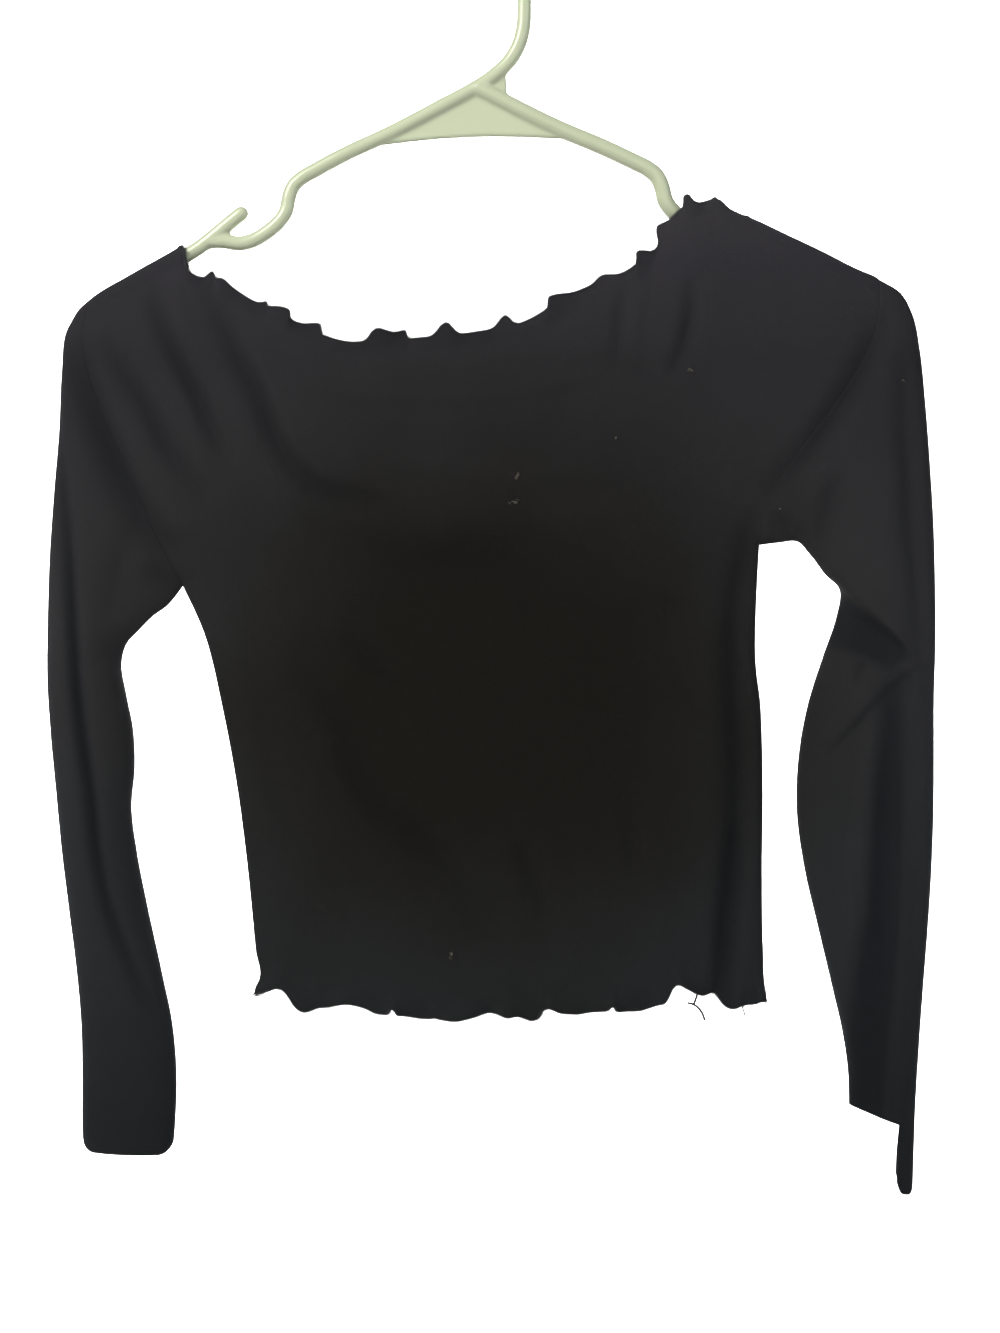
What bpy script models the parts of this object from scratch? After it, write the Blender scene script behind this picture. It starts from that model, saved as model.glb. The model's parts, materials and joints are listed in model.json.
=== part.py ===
"""A cropped long-sleeved jersey top with lettuce edges, hung on a one-piece moulded hanger.

The top is four cloth panels: front, back and two sleeves. All four are drawn first as one
continuous skin, which is the middle of the cloth. Each panel is then cut out of that skin,
drawn back a little from its seams, and given its wall thickness.

Every size below is in millimetres, and MM turns it into Blender's metres. X runs to the
viewer's right, Y away from the viewer and Z up. The origin is the highest point of the
hook's inner side, where the hanger hangs on its rail.
"""

import math
from typing import NamedTuple

import bmesh
import bpy
import numpy as np
from mathutils import Vector

MM = 0.001

# --- Cloth ---------------------------------------------------------------------------------
WALL = 1.3                # thickness of the cloth wall
SEAM_GAP = 0.3            # what parts two panels at a seam
PANEL_HEIGHT = 375.0      # hem to top edge, along the middle of a body panel
UNDERARM_SHARE = 0.58     # share of that height at which the side seam becomes the armhole
ROW_PITCH = 14.5          # height of a plain row of cells
ARMHOLE_HALF_DEPTH = 11.0
HEM_HALF_DEPTH = 14.0
NECK_HALF_DEPTH = 9.5
CHEST_FULLNESS = 14.0     # what the chest adds to the depth between hem and neck
EDGE_CELL = 3.9           # length of a cell along a lettuce edge
HEM_ROWS = (0.0, 4.0, 8.5, 14.0, 22.0)           # distances of the lowest rows from the hem
TOP_ROWS = (28.0, 18.0, 11.0, 6.0, 2.1, 0.0)     # distances of the highest rows from the top
UNDERARM_ROW = 4.0        # height of the row that rounds the underarm
HEM_RUFFLE_REACH = 8.6    # rows this near the hem carry its waves
NECK_RUFFLE_REACH = 11.1  # rows this near the neckline carry its waves
RUFFLE_FADE = 4.0         # what it takes past those rows until the waves are gone
RUFFLE_ENDS = 16.0        # the waves come to nothing in one of so many parts at each end
WAVE_VARIES = 0.22        # share by which the waves differ in size
WAVE_VARIES_TURNS = 2.7   # how often they do so along the edge
LIFT_LAG = 1.9            # radians by which a wave's lift trails its swing
FOLD_GIVE = 4.0           # depth of cloth at which a fold has half its full size
FOLD_PITCH = 3.0          # between the points of a fold's path
FOLD_FADE = 0.7           # power of the sine that fades a fold towards its ends
WELD = 0.02               # points nearer than this are one
LEAST_MITRE = 0.35        # keeps a sharp corner of a panel from being drawn back too far

# --- Hanger --------------------------------------------------------------------------------
TUBE_RADIUS = 4.0
TUBE_SIDES = 10
REST_REACH = 6.1          # tube's centre line to the middle of the cloth that lies on it
FACET_ALLOWANCE = 0.4     # what the cloth's flat facets need besides
BLEND_POWER = 6           # of the mean that blends the cloth's depth with a tube's
PATH_PITCH = 1.5          # between the points of a tube's centre line
HOOK_STEPS = 12           # of the hook's half circle
DOME_ANGLES = (35.0, 68.0)    # degrees, of the rings that round a tube's end
TILT = math.radians(1.5)  # the viewer's right side hangs higher
HOOK_RADIUS = 28.4        # of the hook's centre line
HOOK_TIP_DROP = 13.0      # how far the hook's free end runs down past its half circle
WEB_THICKNESS = 2.6


class Side(NamedTuple):
    """A height on both edges of a body panel: side seams first, armholes above them."""

    share: float
    left_x: float
    left_z: float
    right_x: float
    right_z: float


SIDES = (
    Side(0.000, -113, -576, 159, -579),
    Side(0.065, -111, -552, 156.5, -552),
    Side(0.175, -115, -510, 155.5, -510),
    Side(0.290, -121, -467, 156, -467),
    Side(0.400, -129.5, -425, 155, -425),
    Side(0.505, -139.5, -384, 151.5, -388),
    Side(UNDERARM_SHARE, -151, -358, 153, -337),
    Side(0.665, -167, -327, 158, -314),
    Side(0.745, -179, -298, 174, -289),
    Side(0.810, -190, -275, 194, -262),
    Side(0.875, -199, -251, 208, -240),
    Side(0.940, -203, -228, 216, -219),
)

CORNER_X = (-200.0, 218.0)      # where armhole and shoulder seam meet
NECK_TIP_X = (-153.0, 131.0)    # where shoulder seam and neckline meet
NECK_SHARES = (0.15, 0.76)      # columns of the panel at which those tips stand
SHOULDER_COLUMNS = (
    (0.0, 0.008, 0.03, 0.065, 0.105, 0.135),
    (0.773, 0.79, 0.82, 0.86, 0.905, 0.945, 0.972, 0.992, 1.0),
)
TIP_COLUMN = 0.0035       # width of the neckline's first and last columns
SEAM_COLUMNS = (0.0, 0.008, 0.03, 0.065)    # beside both side seams, on plain rows


class NecklinePoint(NamedTuple):
    """A point of the neckline between its two tips."""

    x: float
    z: float


NECKLINE = (
    NecklinePoint(-146, -189),
    NecklinePoint(-135, -196),
    NecklinePoint(-113, -206),
    NecklinePoint(-92, -216),
    NecklinePoint(-64, -228),
    NecklinePoint(-36, -226),
    NecklinePoint(-10, -224),
    NecklinePoint(17, -219),
    NecklinePoint(42, -210),
    NecklinePoint(64, -197),
    NecklinePoint(82, -191),
    NecklinePoint(93, -181),
    NecklinePoint(101, -169),
    NecklinePoint(108, -161),
    NecklinePoint(117, -156),
)


class HemPoint(NamedTuple):
    """Height of the hem at a share of its width."""

    share: float
    z: float


HEM_LINE = (
    HemPoint(0.00, -576),
    HemPoint(0.06, -577),
    HemPoint(0.10, -581),
    HemPoint(0.20, -582),
    HemPoint(0.28, -586),
    HemPoint(0.38, -588),
    HemPoint(0.46, -586),
    HemPoint(0.54, -589),
    HemPoint(0.60, -585),
    HemPoint(0.72, -585),
    HemPoint(0.79, -582),
    HemPoint(0.84, -574),
    HemPoint(0.90, -578),
    HemPoint(0.95, -583),
    HemPoint(1.00, -579),
)


class Ruffle(NamedTuple):
    """Waves of a lettuce edge: their number and reach, and how uneven they are."""

    waves: float
    swing: float       # forwards and backwards
    lift: float        # up and down
    drift: float       # how far the waves crowd and spread, in turns
    drift_turns: float
    start: float       # turn at which the first wave starts


class SleeveSection(NamedTuple):
    """A flat section of a sleeve, from its outer fold to its inner seam."""

    outer_x: float
    outer_z: float
    inner_x: float
    inner_z: float
    half_depth: float
    middle_y: float
    bow: float         # share of the armhole's curve that this section keeps
    tail: float        # how far the outer fold hangs below the rest


LEFT_SLEEVE = (
    SleeveSection(-213, -224, -161, -367, 11.0, 0.0, 0.65, 0),
    SleeveSection(-216, -246, -169, -373, 11.5, 0.0, 0.40, 0),
    SleeveSection(-217, -273, -176, -380, 12.0, 0.0, 0.20, 0),
    SleeveSection(-219, -306, -182, -389, 12.5, 0.0, 0.08, 0),
    SleeveSection(-221, -340, -184, -401, 13.0, 0.0, 0.00, 0),
    SleeveSection(-222, -377, -182, -417, 13.0, -1.0, 0.00, 0),
    SleeveSection(-222, -410, -178, -436, 13.0, -2.0, 0.00, 0),
    SleeveSection(-220, -438, -176.5, -455, 13.0, -3.0, 0.00, 0),
    SleeveSection(-217, -468, -176.5, -476, 13.0, -4.0, 0.00, 0),
    SleeveSection(-214, -498, -175, -500, 13.0, -4.5, 0.00, 0),
    SleeveSection(-210, -530, -169, -530, 13.0, -5.0, 0.00, 0),
    SleeveSection(-206, -562, -162, -562, 12.5, -5.0, 0.00, 0),
    SleeveSection(-203.5, -592, -156, -592, 12.0, -5.0, 0.00, 0),
    SleeveSection(-203, -622, -154, -622, 11.5, -5.0, 0.00, 0),
    SleeveSection(-203, -644, -155.5, -647, 11.0, -5.0, 0.00, 0),
    SleeveSection(-202, -655, -157.5, -658, 10.5, -5.0, 0.00, 0),
)

RIGHT_SLEEVE = (
    SleeveSection(228.5, -205, 158, -336.5, 11.2, 0.0, 0.86, 0),
    SleeveSection(234.5, -216.5, 163, -336.5, 11.5, 0.0, 0.72, 0),
    SleeveSection(238, -234, 171, -338, 12.0, 0.0, 0.48, 0),
    SleeveSection(241.5, -264, 181, -347, 12.5, 0.0, 0.22, 0),
    SleeveSection(244.5, -298, 190, -356, 13.0, 0.0, 0.10, 0),
    SleeveSection(246.5, -330, 197, -364, 13.0, 0.0, 0.00, 0),
    SleeveSection(247, -358, 195, -377, 13.0, -1.0, 0.00, 0),
    SleeveSection(247, -388, 188, -397, 13.0, -2.0, 0.00, 0),
    SleeveSection(246, -418, 180, -422, 13.0, -3.0, 0.00, 0),
    SleeveSection(245.5, -448, 174, -449, 13.0, -4.0, 0.00, 0),
    SleeveSection(245, -478, 173.5, -478, 13.0, -4.5, 0.00, 0),
    SleeveSection(243.5, -508, 178, -508, 13.0, -5.0, 0.00, 0),
    SleeveSection(241.5, -540, 185, -540, 12.5, -5.0, 0.00, 0),
    SleeveSection(239, -572, 192.5, -572, 12.0, -5.0, 0.00, 0),
    SleeveSection(237, -600, 198, -598, 11.5, -5.0, 0.00, 4),
    SleeveSection(235.5, -624, 201, -618, 11.0, -5.0, 0.00, 14),
    SleeveSection(235, -643, 200.5, -634, 10.5, -5.0, 0.00, 36),
)

SLEEVE_ROW_PITCH = 14.0
SHOULDER_ROW_PITCH = 6.0  # of the sleeve's rows where it rounds the hanger's end
SHOULDER_ROWS_REACH = 30.0
SLEEVE_SHARES = (0.0, 0.035, 0.14, 0.30, 0.49, 0.67, 0.775, 0.87, 0.965, 1.0)
TAIL_SHARES = (0.66, 0.79)    # shares of the cuff's width between which it steps down


class Fold(NamedTuple):
    """A soft trough in a layer of cloth, or a ridge where its depth is negative."""

    name: str
    depth: float
    width: float
    path: tuple


FRONT_FOLDS = (
    Fold("left underarm wedge", 8.0, 8.5, ((-206, -240), (-178, -293), (-146, -344))),
    Fold("left armhole drag", 5.5, 7.5, ((-180, -236), (-160, -272), (-133, -313))),
    Fold("left shoulder drag", 5.0, 7.5, ((-168, -200), (-146, -250), (-123, -296))),
    Fold("neck corner drape", 5.5, 8.5,
         ((-131, -212), (-114, -249), (-98, -289), (-67, -312), (-40, -318))),
    Fold("chest roll", -3.5, 8.5, ((-66, -306), (17, -311), (100, -306))),
    Fold("below the chest roll", 4.5, 15.0, ((-70, -338), (17, -345), (108, -333))),
    Fold("right armhole drag", 6.0, 7.5, ((216, -226), (194, -262), (174, -289), (156, -318))),
    Fold("right neck drag", 4.0, 7.0, ((119, -198), (113, -238), (106, -252))),
    Fold("right chest trough", 3.5, 6.5, ((80, -195), (81, -222), (82, -252))),
    Fold("right chest raised strip", -3.0, 6.5, ((91, -192), (91, -222), (96, -250))),
    Fold("right side roll", 6.0, 8.5,
         ((150, -318), (143, -380), (142, -450), (142, -510), (131, -582))),
    Fold("left waist drag", 4.5, 9.5,
         ((-101, -404), (-66, -440), (-51, -480), (-22, -498), (8, -540))),
    Fold("middle waist drag", 2.0, 7.0, ((26, -500), (33, -520), (40, -540))),
    Fold("left sleeve crease", 4.5, 7.5,
         ((-213, -262), (-209, -340), (-206, -398), (-195, -462), (-179, -541), (-161, -596))),
    Fold("right sleeve outer crease", 3.0, 5.0,
         ((232, -246), (231, -296), (236, -347), (239, -395))),
    Fold("right elbow ridge", -4.0, 8.5, ((168, -326), (200, -355), (240, -392))),
    Fold("right elbow trough", 7.0, 9.0, ((188, -372), (208, -390), (232, -420))),
    Fold("right forearm ridge", -3.0, 9.5,
         ((220, -412), (213, -472), (207, -510), (200, -562), (202, -622))),
)

BACK_FOLDS = (
    Fold("left underarm wedge", 5.0, 8.0, ((-200, -246), (-174, -298), (-144, -346))),
    Fold("left shoulder drag", 4.0, 8.0, ((-172, -206), (-150, -262), (-118, -310))),
    Fold("back neck drape", 3.5, 9.0,
         ((-110, -222), (-84, -262), (-30, -284), (30, -282), (84, -248))),
    Fold("right armhole drag", 4.5, 8.0, ((214, -232), (190, -270), (152, -322))),
    Fold("right shoulder drag", 3.5, 8.0, ((150, -186), (146, -240), (122, -292))),
    Fold("waist drag", 4.0, 10.0, ((118, -380), (84, -430), (70, -490), (36, -540))),
    Fold("left side roll", 4.0, 8.0, ((-136, -372), (-112, -440), (-104, -520), (-100, -582))),
    Fold("lower back drag", 2.5, 8.0, ((-60, -452), (-34, -500), (-20, -556))),
    Fold("left sleeve crease", 3.0, 6.0,
         ((-206, -258), (-204, -340), (-200, -420), (-190, -500), (-180, -580))),
    Fold("right elbow trough", 4.0, 8.0, ((186, -366), (214, -384), (244, -400))),
    Fold("right forearm crease", 3.0, 7.0,
         ((226, -420), (222, -480), (214, -540), (214, -600))),
)


class Layer(NamedTuple):
    """What sets the front layer of the top apart from the back one."""

    name: str
    facing: int        # the sign of Y on that side
    fullness: float    # share of the front's depth
    neck_drop: float   # how far its neckline lies below the front's
    neck_cells: int
    body_cells: int
    folds: tuple
    neck_ruffle: Ruffle
    hem_ruffle: Ruffle


FRONT = Layer("front", -1, 1.0, 0.0, 18, 18, FRONT_FOLDS,
              Ruffle(17, 3.2, 2.0, 0.30, 2.3, 0.10), Ruffle(15, 3.2, 1.6, 0.35, 1.8, 0.35))
BACK = Layer("back", 1, 0.85, 4.0, 12, 11, BACK_FOLDS,
             Ruffle(16, 3.2, 2.0, 0.35, 1.7, 0.60), Ruffle(15, 3.2, 1.6, 0.30, 2.6, 0.05))


class PathPoint(NamedTuple):
    """A point of a tube's centre line on the untilted hanger."""

    x: float
    z: float


OUTER_ARM = (              # from the strap notch's prong round the shoulder to the bar
    PathPoint(127.2, -161.0),
    PathPoint(133.7, -166.8),
    PathPoint(146.4, -175.0),
    PathPoint(158.0, -181.3),
    PathPoint(182.0, -194.6),
    PathPoint(201.0, -205.4),
    PathPoint(208.5, -211.8),
    PathPoint(211.5, -220.5),
    PathPoint(208.0, -229.0),
    PathPoint(199.0, -234.0),
    PathPoint(185.0, -235.5),
)
BAR_Z = -236.0
NOTCH = (                  # from the outer arm round the strap notch to the straight arm
    PathPoint(141.5, -172.2),
    PathPoint(131.8, -174.6),
    PathPoint(121.7, -175.4),
    PathPoint(111.0, -170.6),
    PathPoint(103.2, -161.2),
    PathPoint(100.2, -151.5),
    PathPoint(93.8, -143.6),
    PathPoint(84.0, -138.4),
)
NECK_BEND = (              # from the left arm's top into the hook's upright
    PathPoint(-45.0, -118.2),
    PathPoint(-12.0, -102.0),
    PathPoint(-1.5, -96.8),
    PathPoint(8.4, -91.0),
    PathPoint(15.2, -85.8),
    PathPoint(21.0, -79.8),
    PathPoint(25.0, -72.8),
    PathPoint(27.6, -64.0),
    PathPoint(28.4, -54.0),
    PathPoint(28.4, -39.0),
)
RIGHT_ARM_TOP = (
    PathPoint(46.0, -118.2),
    PathPoint(3.0, -95.4),
)
LOWER_WEB = (
    PathPoint(-52.0, -123.0),
    PathPoint(-26.0, -120.6),
    PathPoint(1.0, -119.6),
    PathPoint(27.0, -120.4),
    PathPoint(54.0, -122.4),
    PathPoint(3.0, -96.0),
)
UPPER_WEB = (
    PathPoint(5.0, -95.0),
    PathPoint(8.0, -98.0),
    PathPoint(18.0, -103.4),
    PathPoint(18.0, -81.6),
)

CLOTH_COLOUR = (0.012, 0.012, 0.013, 1.0)
HANGER_COLOUR = (0.67, 0.72, 0.49, 1.0)


# --- Curves --------------------------------------------------------------------------------
def smooth(keys, values):
    """Return a function that runs smoothly through the values, one row for each key."""
    keys = np.asarray(keys, dtype=float)
    values = np.asarray(values, dtype=float)
    slopes = np.gradient(values, keys, axis=0)

    def at(key):
        key = min(max(float(key), keys[0]), keys[-1])
        i = min(int(np.searchsorted(keys, key, side="right")) - 1, len(keys) - 2)
        span = keys[i + 1] - keys[i]
        t = (key - keys[i]) / span
        rise = t * t * (3.0 - 2.0 * t)
        start_bend = t * (1.0 - t) ** 2
        end_bend = t * t * (t - 1.0)
        return (values[i] * (1.0 - rise) + values[i + 1] * rise
                + span * (slopes[i] * start_bend + slopes[i + 1] * end_bend))

    return at


def trace(points):
    """Return a function from a share of the curve's length to a point of it, and its length."""
    points = np.asarray(points, dtype=float)
    steps = np.linalg.norm(np.diff(points, axis=0), axis=1)
    along = np.concatenate(([0.0], np.cumsum(steps)))
    return smooth(along / along[-1], points), along[-1]


def sampled(points, pitch):
    """Return points about a pitch apart on the smooth curve through the given ones."""
    at, length = trace(points)
    count = max(2, int(math.ceil(length / pitch)))
    return np.array([at(k / count) for k in range(count + 1)])


def thinned(points, turn=math.radians(10.0), reach=45.0):
    """Keep the points at which a path has turned or run far enough since the last one kept."""
    kept = [points[0]]
    for i in range(1, len(points) - 1):
        before = points[i] - kept[-1]
        after = points[i + 1] - points[i]
        bend = abs(math.atan2(before[0] * after[1] - before[1] * after[0], before @ after))
        if bend > turn or np.linalg.norm(before) > reach:
            kept.append(points[i])
    kept.append(points[-1])
    return np.array(kept)


def ease(t):
    """Rise smoothly from 0 to 1 as t does."""
    t = min(max(t, 0.0), 1.0)
    return t * t * (3.0 - 2.0 * t)


# --- Hanger paths --------------------------------------------------------------------------
def tilted(points):
    """Turn points of the straight hanger about the hook's contact point."""
    points = np.asarray(points, dtype=float)
    x, z = points[:, 0], points[:, 1]
    return np.column_stack((x * math.cos(TILT) - z * math.sin(TILT),
                            z * math.cos(TILT) + x * math.sin(TILT)))


def other_side(points):
    """The same points on the viewer's left half of the hanger."""
    return [(-x, z) for x, z in points]


def rail_path():
    """Left prong, shoulder, bottom bar, right shoulder, right prong."""
    return other_side(OUTER_ARM) + [(0.0, BAR_Z)] + list(reversed(OUTER_ARM))


def hook_path():
    """Left notch, left arm, the upright and the hook with its free end."""
    centre_z = TUBE_RADIUS - HOOK_RADIUS
    turn = [(HOOK_RADIUS * math.cos(angle), centre_z + HOOK_RADIUS * math.sin(angle))
            for angle in np.linspace(0.0, math.pi, HOOK_STEPS + 1)]
    tip = [(-HOOK_RADIUS, centre_z - HOOK_TIP_DROP)]
    return other_side(NOTCH) + list(NECK_BEND) + turn + tip


def right_arm_path():
    """Right notch and right arm, up to the left arm's top."""
    return list(NOTCH) + list(RIGHT_ARM_TOP)


def hanger_paths():
    """The centre lines of the hanger's three tubes, in place."""
    return [tilted(sampled(path, PATH_PITCH)) for path in (rail_path(), hook_path(), right_arm_path())]


PATHS = hanger_paths()
PATH_POINTS = np.vstack(PATHS)


def over_arm(x):
    """Height at which the middle of the cloth lies when it rests on the tubes at x."""
    near = PATH_POINTS[np.abs(PATH_POINTS[:, 0] - x) < REST_REACH]
    return float(np.max(near[:, 1] + np.sqrt(REST_REACH ** 2 - (near[:, 0] - x) ** 2)))


def tube_half_depth(x, z):
    """Half the depth that the cloth needs at (x, z) to clear the tubes, and the nearest one."""
    gaps = np.hypot(PATH_POINTS[:, 0] - x, PATH_POINTS[:, 1] - z)
    nearest = int(np.argmin(gaps))
    return math.sqrt(max(0.0, REST_REACH ** 2 - gaps[nearest] ** 2)), PATH_POINTS[nearest]


# --- The skin of the cloth -----------------------------------------------------------------
CORNERS = [(x, over_arm(x)) for x in CORNER_X]
NECK_TIPS = [(x, over_arm(x)) for x in NECK_TIP_X]
LEFT_EDGE = smooth([s.share for s in SIDES] + [1.0],
                   [(s.left_x, s.left_z) for s in SIDES] + [CORNERS[0]])
RIGHT_EDGE = smooth([s.share for s in SIDES] + [1.0],
                    [(s.right_x, s.right_z) for s in SIDES] + [CORNERS[1]])
HEM_HEIGHT = smooth([h.share for h in HEM_LINE], [(h.z,) for h in HEM_LINE])
NECKLINE_AT, NECKLINE_LENGTH = trace([NECK_TIPS[0], *NECKLINE, NECK_TIPS[1]])
FOLD_PATHS = {id(fold): sampled(fold.path, FOLD_PITCH) for fold in FRONT_FOLDS + BACK_FOLDS}


def fold_depth(folds, x, z):
    """Depth of all the troughs at (x, z), less the height of the ridges."""
    total = 0.0
    for fold in folds:
        path = FOLD_PATHS[id(fold)]
        gaps = np.hypot(path[:, 0] - x, path[:, 1] - z)
        nearest = int(np.argmin(gaps))
        fade = math.sin(math.pi * nearest / (len(path) - 1)) ** FOLD_FADE
        total += fold.depth * fade * math.exp(-(gaps[nearest] / fold.width) ** 2)
    return total


def placed(layer, x, z, square_depth, middle_y=0.0):
    """Place a point of a layer, given the square of its plain half depth.

    A point on a closed edge has no depth, and is moved off any tube that it meets.
    Elsewhere the folds are taken off the depth, and the tubes hold it open.
    """
    if square_depth < 1e-9:
        needed, tube_point = tube_half_depth(x, z)
        if needed > 0.0:
            away = np.array((x, z)) - tube_point
            x, z = tube_point + away * REST_REACH / np.linalg.norm(away)
        return Vector((x, middle_y, z))
    depth = math.sqrt(square_depth)
    depth -= fold_depth(layer.folds, x, z) * depth / (depth + FOLD_GIVE)
    return held_open(layer, Vector((x, middle_y + layer.facing * depth, z)))


def held_open(layer, point):
    """Move a point of a layer out until it clears the tubes."""
    needed = tube_half_depth(point.x, point.z)[0]
    depth = max(point.y * layer.facing, 0.0)
    if needed > 0.0:
        needed += FACET_ALLOWANCE
        depth = (depth ** BLEND_POWER + needed ** BLEND_POWER) ** (1.0 / BLEND_POWER)
        point.y = layer.facing * depth
    return point


def neck_share(u):
    """Share of the neckline at a column of the panel, or None on a shoulder seam."""
    start, end = NECK_SHARES
    if u < start - 1e-9 or u > end + 1e-9:
        return None
    return (u - start) / (end - start)


def top_edge(layer, u):
    """Top edge of a panel at a column: shoulder seam, neckline, shoulder seam."""
    share = neck_share(u)
    if share is None:
        left = u < NECK_SHARES[0]
        corner_x, tip_x = (CORNER_X[0], NECK_TIP_X[0]) if left else (CORNER_X[1], NECK_TIP_X[1])
        start, end = (0.0, NECK_SHARES[0]) if left else (1.0, NECK_SHARES[1])
        x = corner_x + (tip_x - corner_x) * (u - start) / (end - start)
        return np.array((x, over_arm(x)))
    x, z = NECKLINE_AT(share)
    return np.array((x, z - layer.neck_drop * math.sin(math.pi * share) ** 0.5))


def hem_edge(u):
    """Hem of a panel at a column."""
    start, end = SIDES[0].left_x, SIDES[0].right_x
    return np.array((start + (end - start) * u, HEM_HEIGHT(u)[0]))


def armhole_square_depth(share):
    """Square of the armhole's half depth, from the underarm at 0 to the shoulder at 1."""
    return 4.0 * ARMHOLE_HALF_DEPTH ** 2 * share * (1.0 - share)


def edge_square_depth(v):
    """Square of the half depth at a panel's side edge: a closed seam, then the armhole."""
    if v <= UNDERARM_SHARE:
        return 0.0
    return armhole_square_depth((v - UNDERARM_SHARE) / (1.0 - UNDERARM_SHARE))


def square_depth(layer, u, v):
    """Square of a body panel's half depth, which makes closed edges round.

    It is linear near each closed seam, and nothing is left of it on the shoulder seams.
    """
    share = neck_share(u)
    at_top = v > 1.0 - 1e-9
    if at_top and (share is None or min(share, 1.0 - share) < 1e-9):
        return 0.0
    hem = 4.0 * HEM_HALF_DEPTH ** 2 * u * (1.0 - u)
    neck = 0.0 if share is None else 4.0 * NECK_HALF_DEPTH ** 2 * share * (1.0 - share)
    chest = CHEST_FULLNESS ** 2 * 16.0 * u * (1.0 - u) * v * (1.0 - v)
    return ((1.0 - v) * hem + v * neck + chest) * layer.fullness ** 2 + edge_square_depth(v)


def ruffled(point, ruffle, share, fade):
    """Move a point of a lettuce edge out on its wave."""
    crowd = ruffle.drift * math.sin(2.0 * math.pi * ruffle.drift_turns * share)
    phase = 2.0 * math.pi * (ruffle.waves * share + crowd + ruffle.start)
    turn = 2.0 * math.pi * (WAVE_VARIES_TURNS * share + ruffle.start)
    vary = 1.0 - WAVE_VARIES + WAVE_VARIES * math.sin(turn)
    ends = ease(min(share, 1.0 - share) * RUFFLE_ENDS)
    size = fade * vary * ends
    point.y += ruffle.swing * size * math.sin(phase)
    point.z += ruffle.lift * size * math.sin(phase + LIFT_LAG + crowd)
    return point


def panel_point(layer, u, v):
    """A point of a body panel: columns u from left to right, rows v from hem to top."""
    hem, top = hem_edge(u), top_edge(layer, u)
    left, right = LEFT_EDGE(v), RIGHT_EDGE(v)
    flat = ((1.0 - v) * hem + v * top + (1.0 - u) * left + u * right
            - (1.0 - u) * ((1.0 - v) * hem_edge(0.0) + v * top_edge(layer, 0.0))
            - u * ((1.0 - v) * hem_edge(1.0) + v * top_edge(layer, 1.0)))
    point = placed(layer, flat[0], flat[1], square_depth(layer, u, v))
    hem_fade = 1.0 - v * PANEL_HEIGHT / (HEM_RUFFLE_REACH + RUFFLE_FADE)
    if hem_fade > 0.0:
        point = ruffled(point, layer.hem_ruffle, u, ease(hem_fade))
    share = neck_share(u)
    neck_fade = 1.0 - (1.0 - v) * PANEL_HEIGHT / (NECK_RUFFLE_REACH + RUFFLE_FADE)
    if share is not None and neck_fade > 0.0:
        point = ruffled(point, layer.neck_ruffle, share, ease(neck_fade))
        if 1e-9 < share < 1.0 - 1e-9:
            point = held_open(layer, point)
    return point


def spread(start, end, pitch):
    """Even steps from start to end, no longer than the pitch, without the start."""
    count = max(1, int(math.ceil(abs(end - start) / pitch)))
    return [start + (end - start) * (k + 1) / count for k in range(count)]


def row_shares():
    """Rows of a body panel from hem to top."""
    rows = [distance / PANEL_HEIGHT for distance in HEM_ROWS]
    pitch = ROW_PITCH / PANEL_HEIGHT
    rows += spread(rows[-1], UNDERARM_SHARE, pitch)
    rows.append(UNDERARM_SHARE + UNDERARM_ROW / PANEL_HEIGHT)
    rows += spread(rows[-1], 1.0 - TOP_ROWS[0] / PANEL_HEIGHT, pitch)
    rows += [1.0 - distance / PANEL_HEIGHT for distance in TOP_ROWS[1:]]
    return rows


def columns(layer, v):
    """Columns of one row, with more of them where the row carries ruffle waves."""
    start, end = NECK_SHARES
    from_top = (1.0 - v) * PANEL_HEIGHT
    hem_row = v * PANEL_HEIGHT < HEM_RUFFLE_REACH
    neck_row = from_top < NECK_RUFFLE_REACH
    if from_top < TOP_ROWS[0] + 1e-6:
        neck = [start, start + TIP_COLUMN]
        neck += spread(neck[-1], end - TIP_COLUMN, (end - start) / layer.neck_cells) + [end]
        plain = list(SHOULDER_COLUMNS[0]) + neck + list(SHOULDER_COLUMNS[1])
    else:
        last = SEAM_COLUMNS[-1]
        middle = spread(last, 1.0 - last, (1.0 - 2.0 * last) / layer.body_cells)
        plain = list(SEAM_COLUMNS) + middle + [1.0 - u for u in reversed(SEAM_COLUMNS[:-1])]
    width = SIDES[0].right_x - SIDES[0].left_x
    found = [plain[0]]
    for a, b in zip(plain, plain[1:]):
        in_neck = neck_row and a > start - 1e-9 and b < end + 1e-9
        length = 0.0
        if hem_row:
            length = (b - a) * width
        elif in_neck:
            length = (b - a) / (end - start) * NECKLINE_LENGTH
        cells = max(1, round(length / EDGE_CELL))
        found += [a + (b - a) * (k + 1) / cells for k in range(cells)]
    return found


def zip_rows(skin, lower, upper, panel_layer, panel):
    """Join two rows of (share, vertex) pairs with faces, whatever their numbers of points."""
    i = j = 0
    while i < len(lower) - 1 or j < len(upper) - 1:
        a, b = lower[i], upper[j]
        next_a = lower[i + 1] if i < len(lower) - 1 else None
        next_b = upper[j + 1] if j < len(upper) - 1 else None
        middle_a = (a[0] + next_a[0]) / 2.0 if next_a else math.inf
        middle_b = (b[0] + next_b[0]) / 2.0 if next_b else math.inf
        if abs(middle_a - middle_b) < 1e-7:
            corners = (a[1], next_a[1], next_b[1], b[1])
            i, j = i + 1, j + 1
        elif middle_a < middle_b:
            corners = (a[1], next_a[1], b[1])
            i += 1
        else:
            corners = (a[1], next_b[1], b[1])
            j += 1
        skin.faces.new(corners)[panel_layer] = panel


def add_body_panel(skin, layer, panel_layer, panel):
    """Add the front or the back to the skin."""
    below = None
    for v in row_shares():
        row = [(u, skin.verts.new(panel_point(layer, u, v))) for u in columns(layer, v)]
        if below:
            zip_rows(skin, below, row, panel_layer, panel)
        below = row


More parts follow.
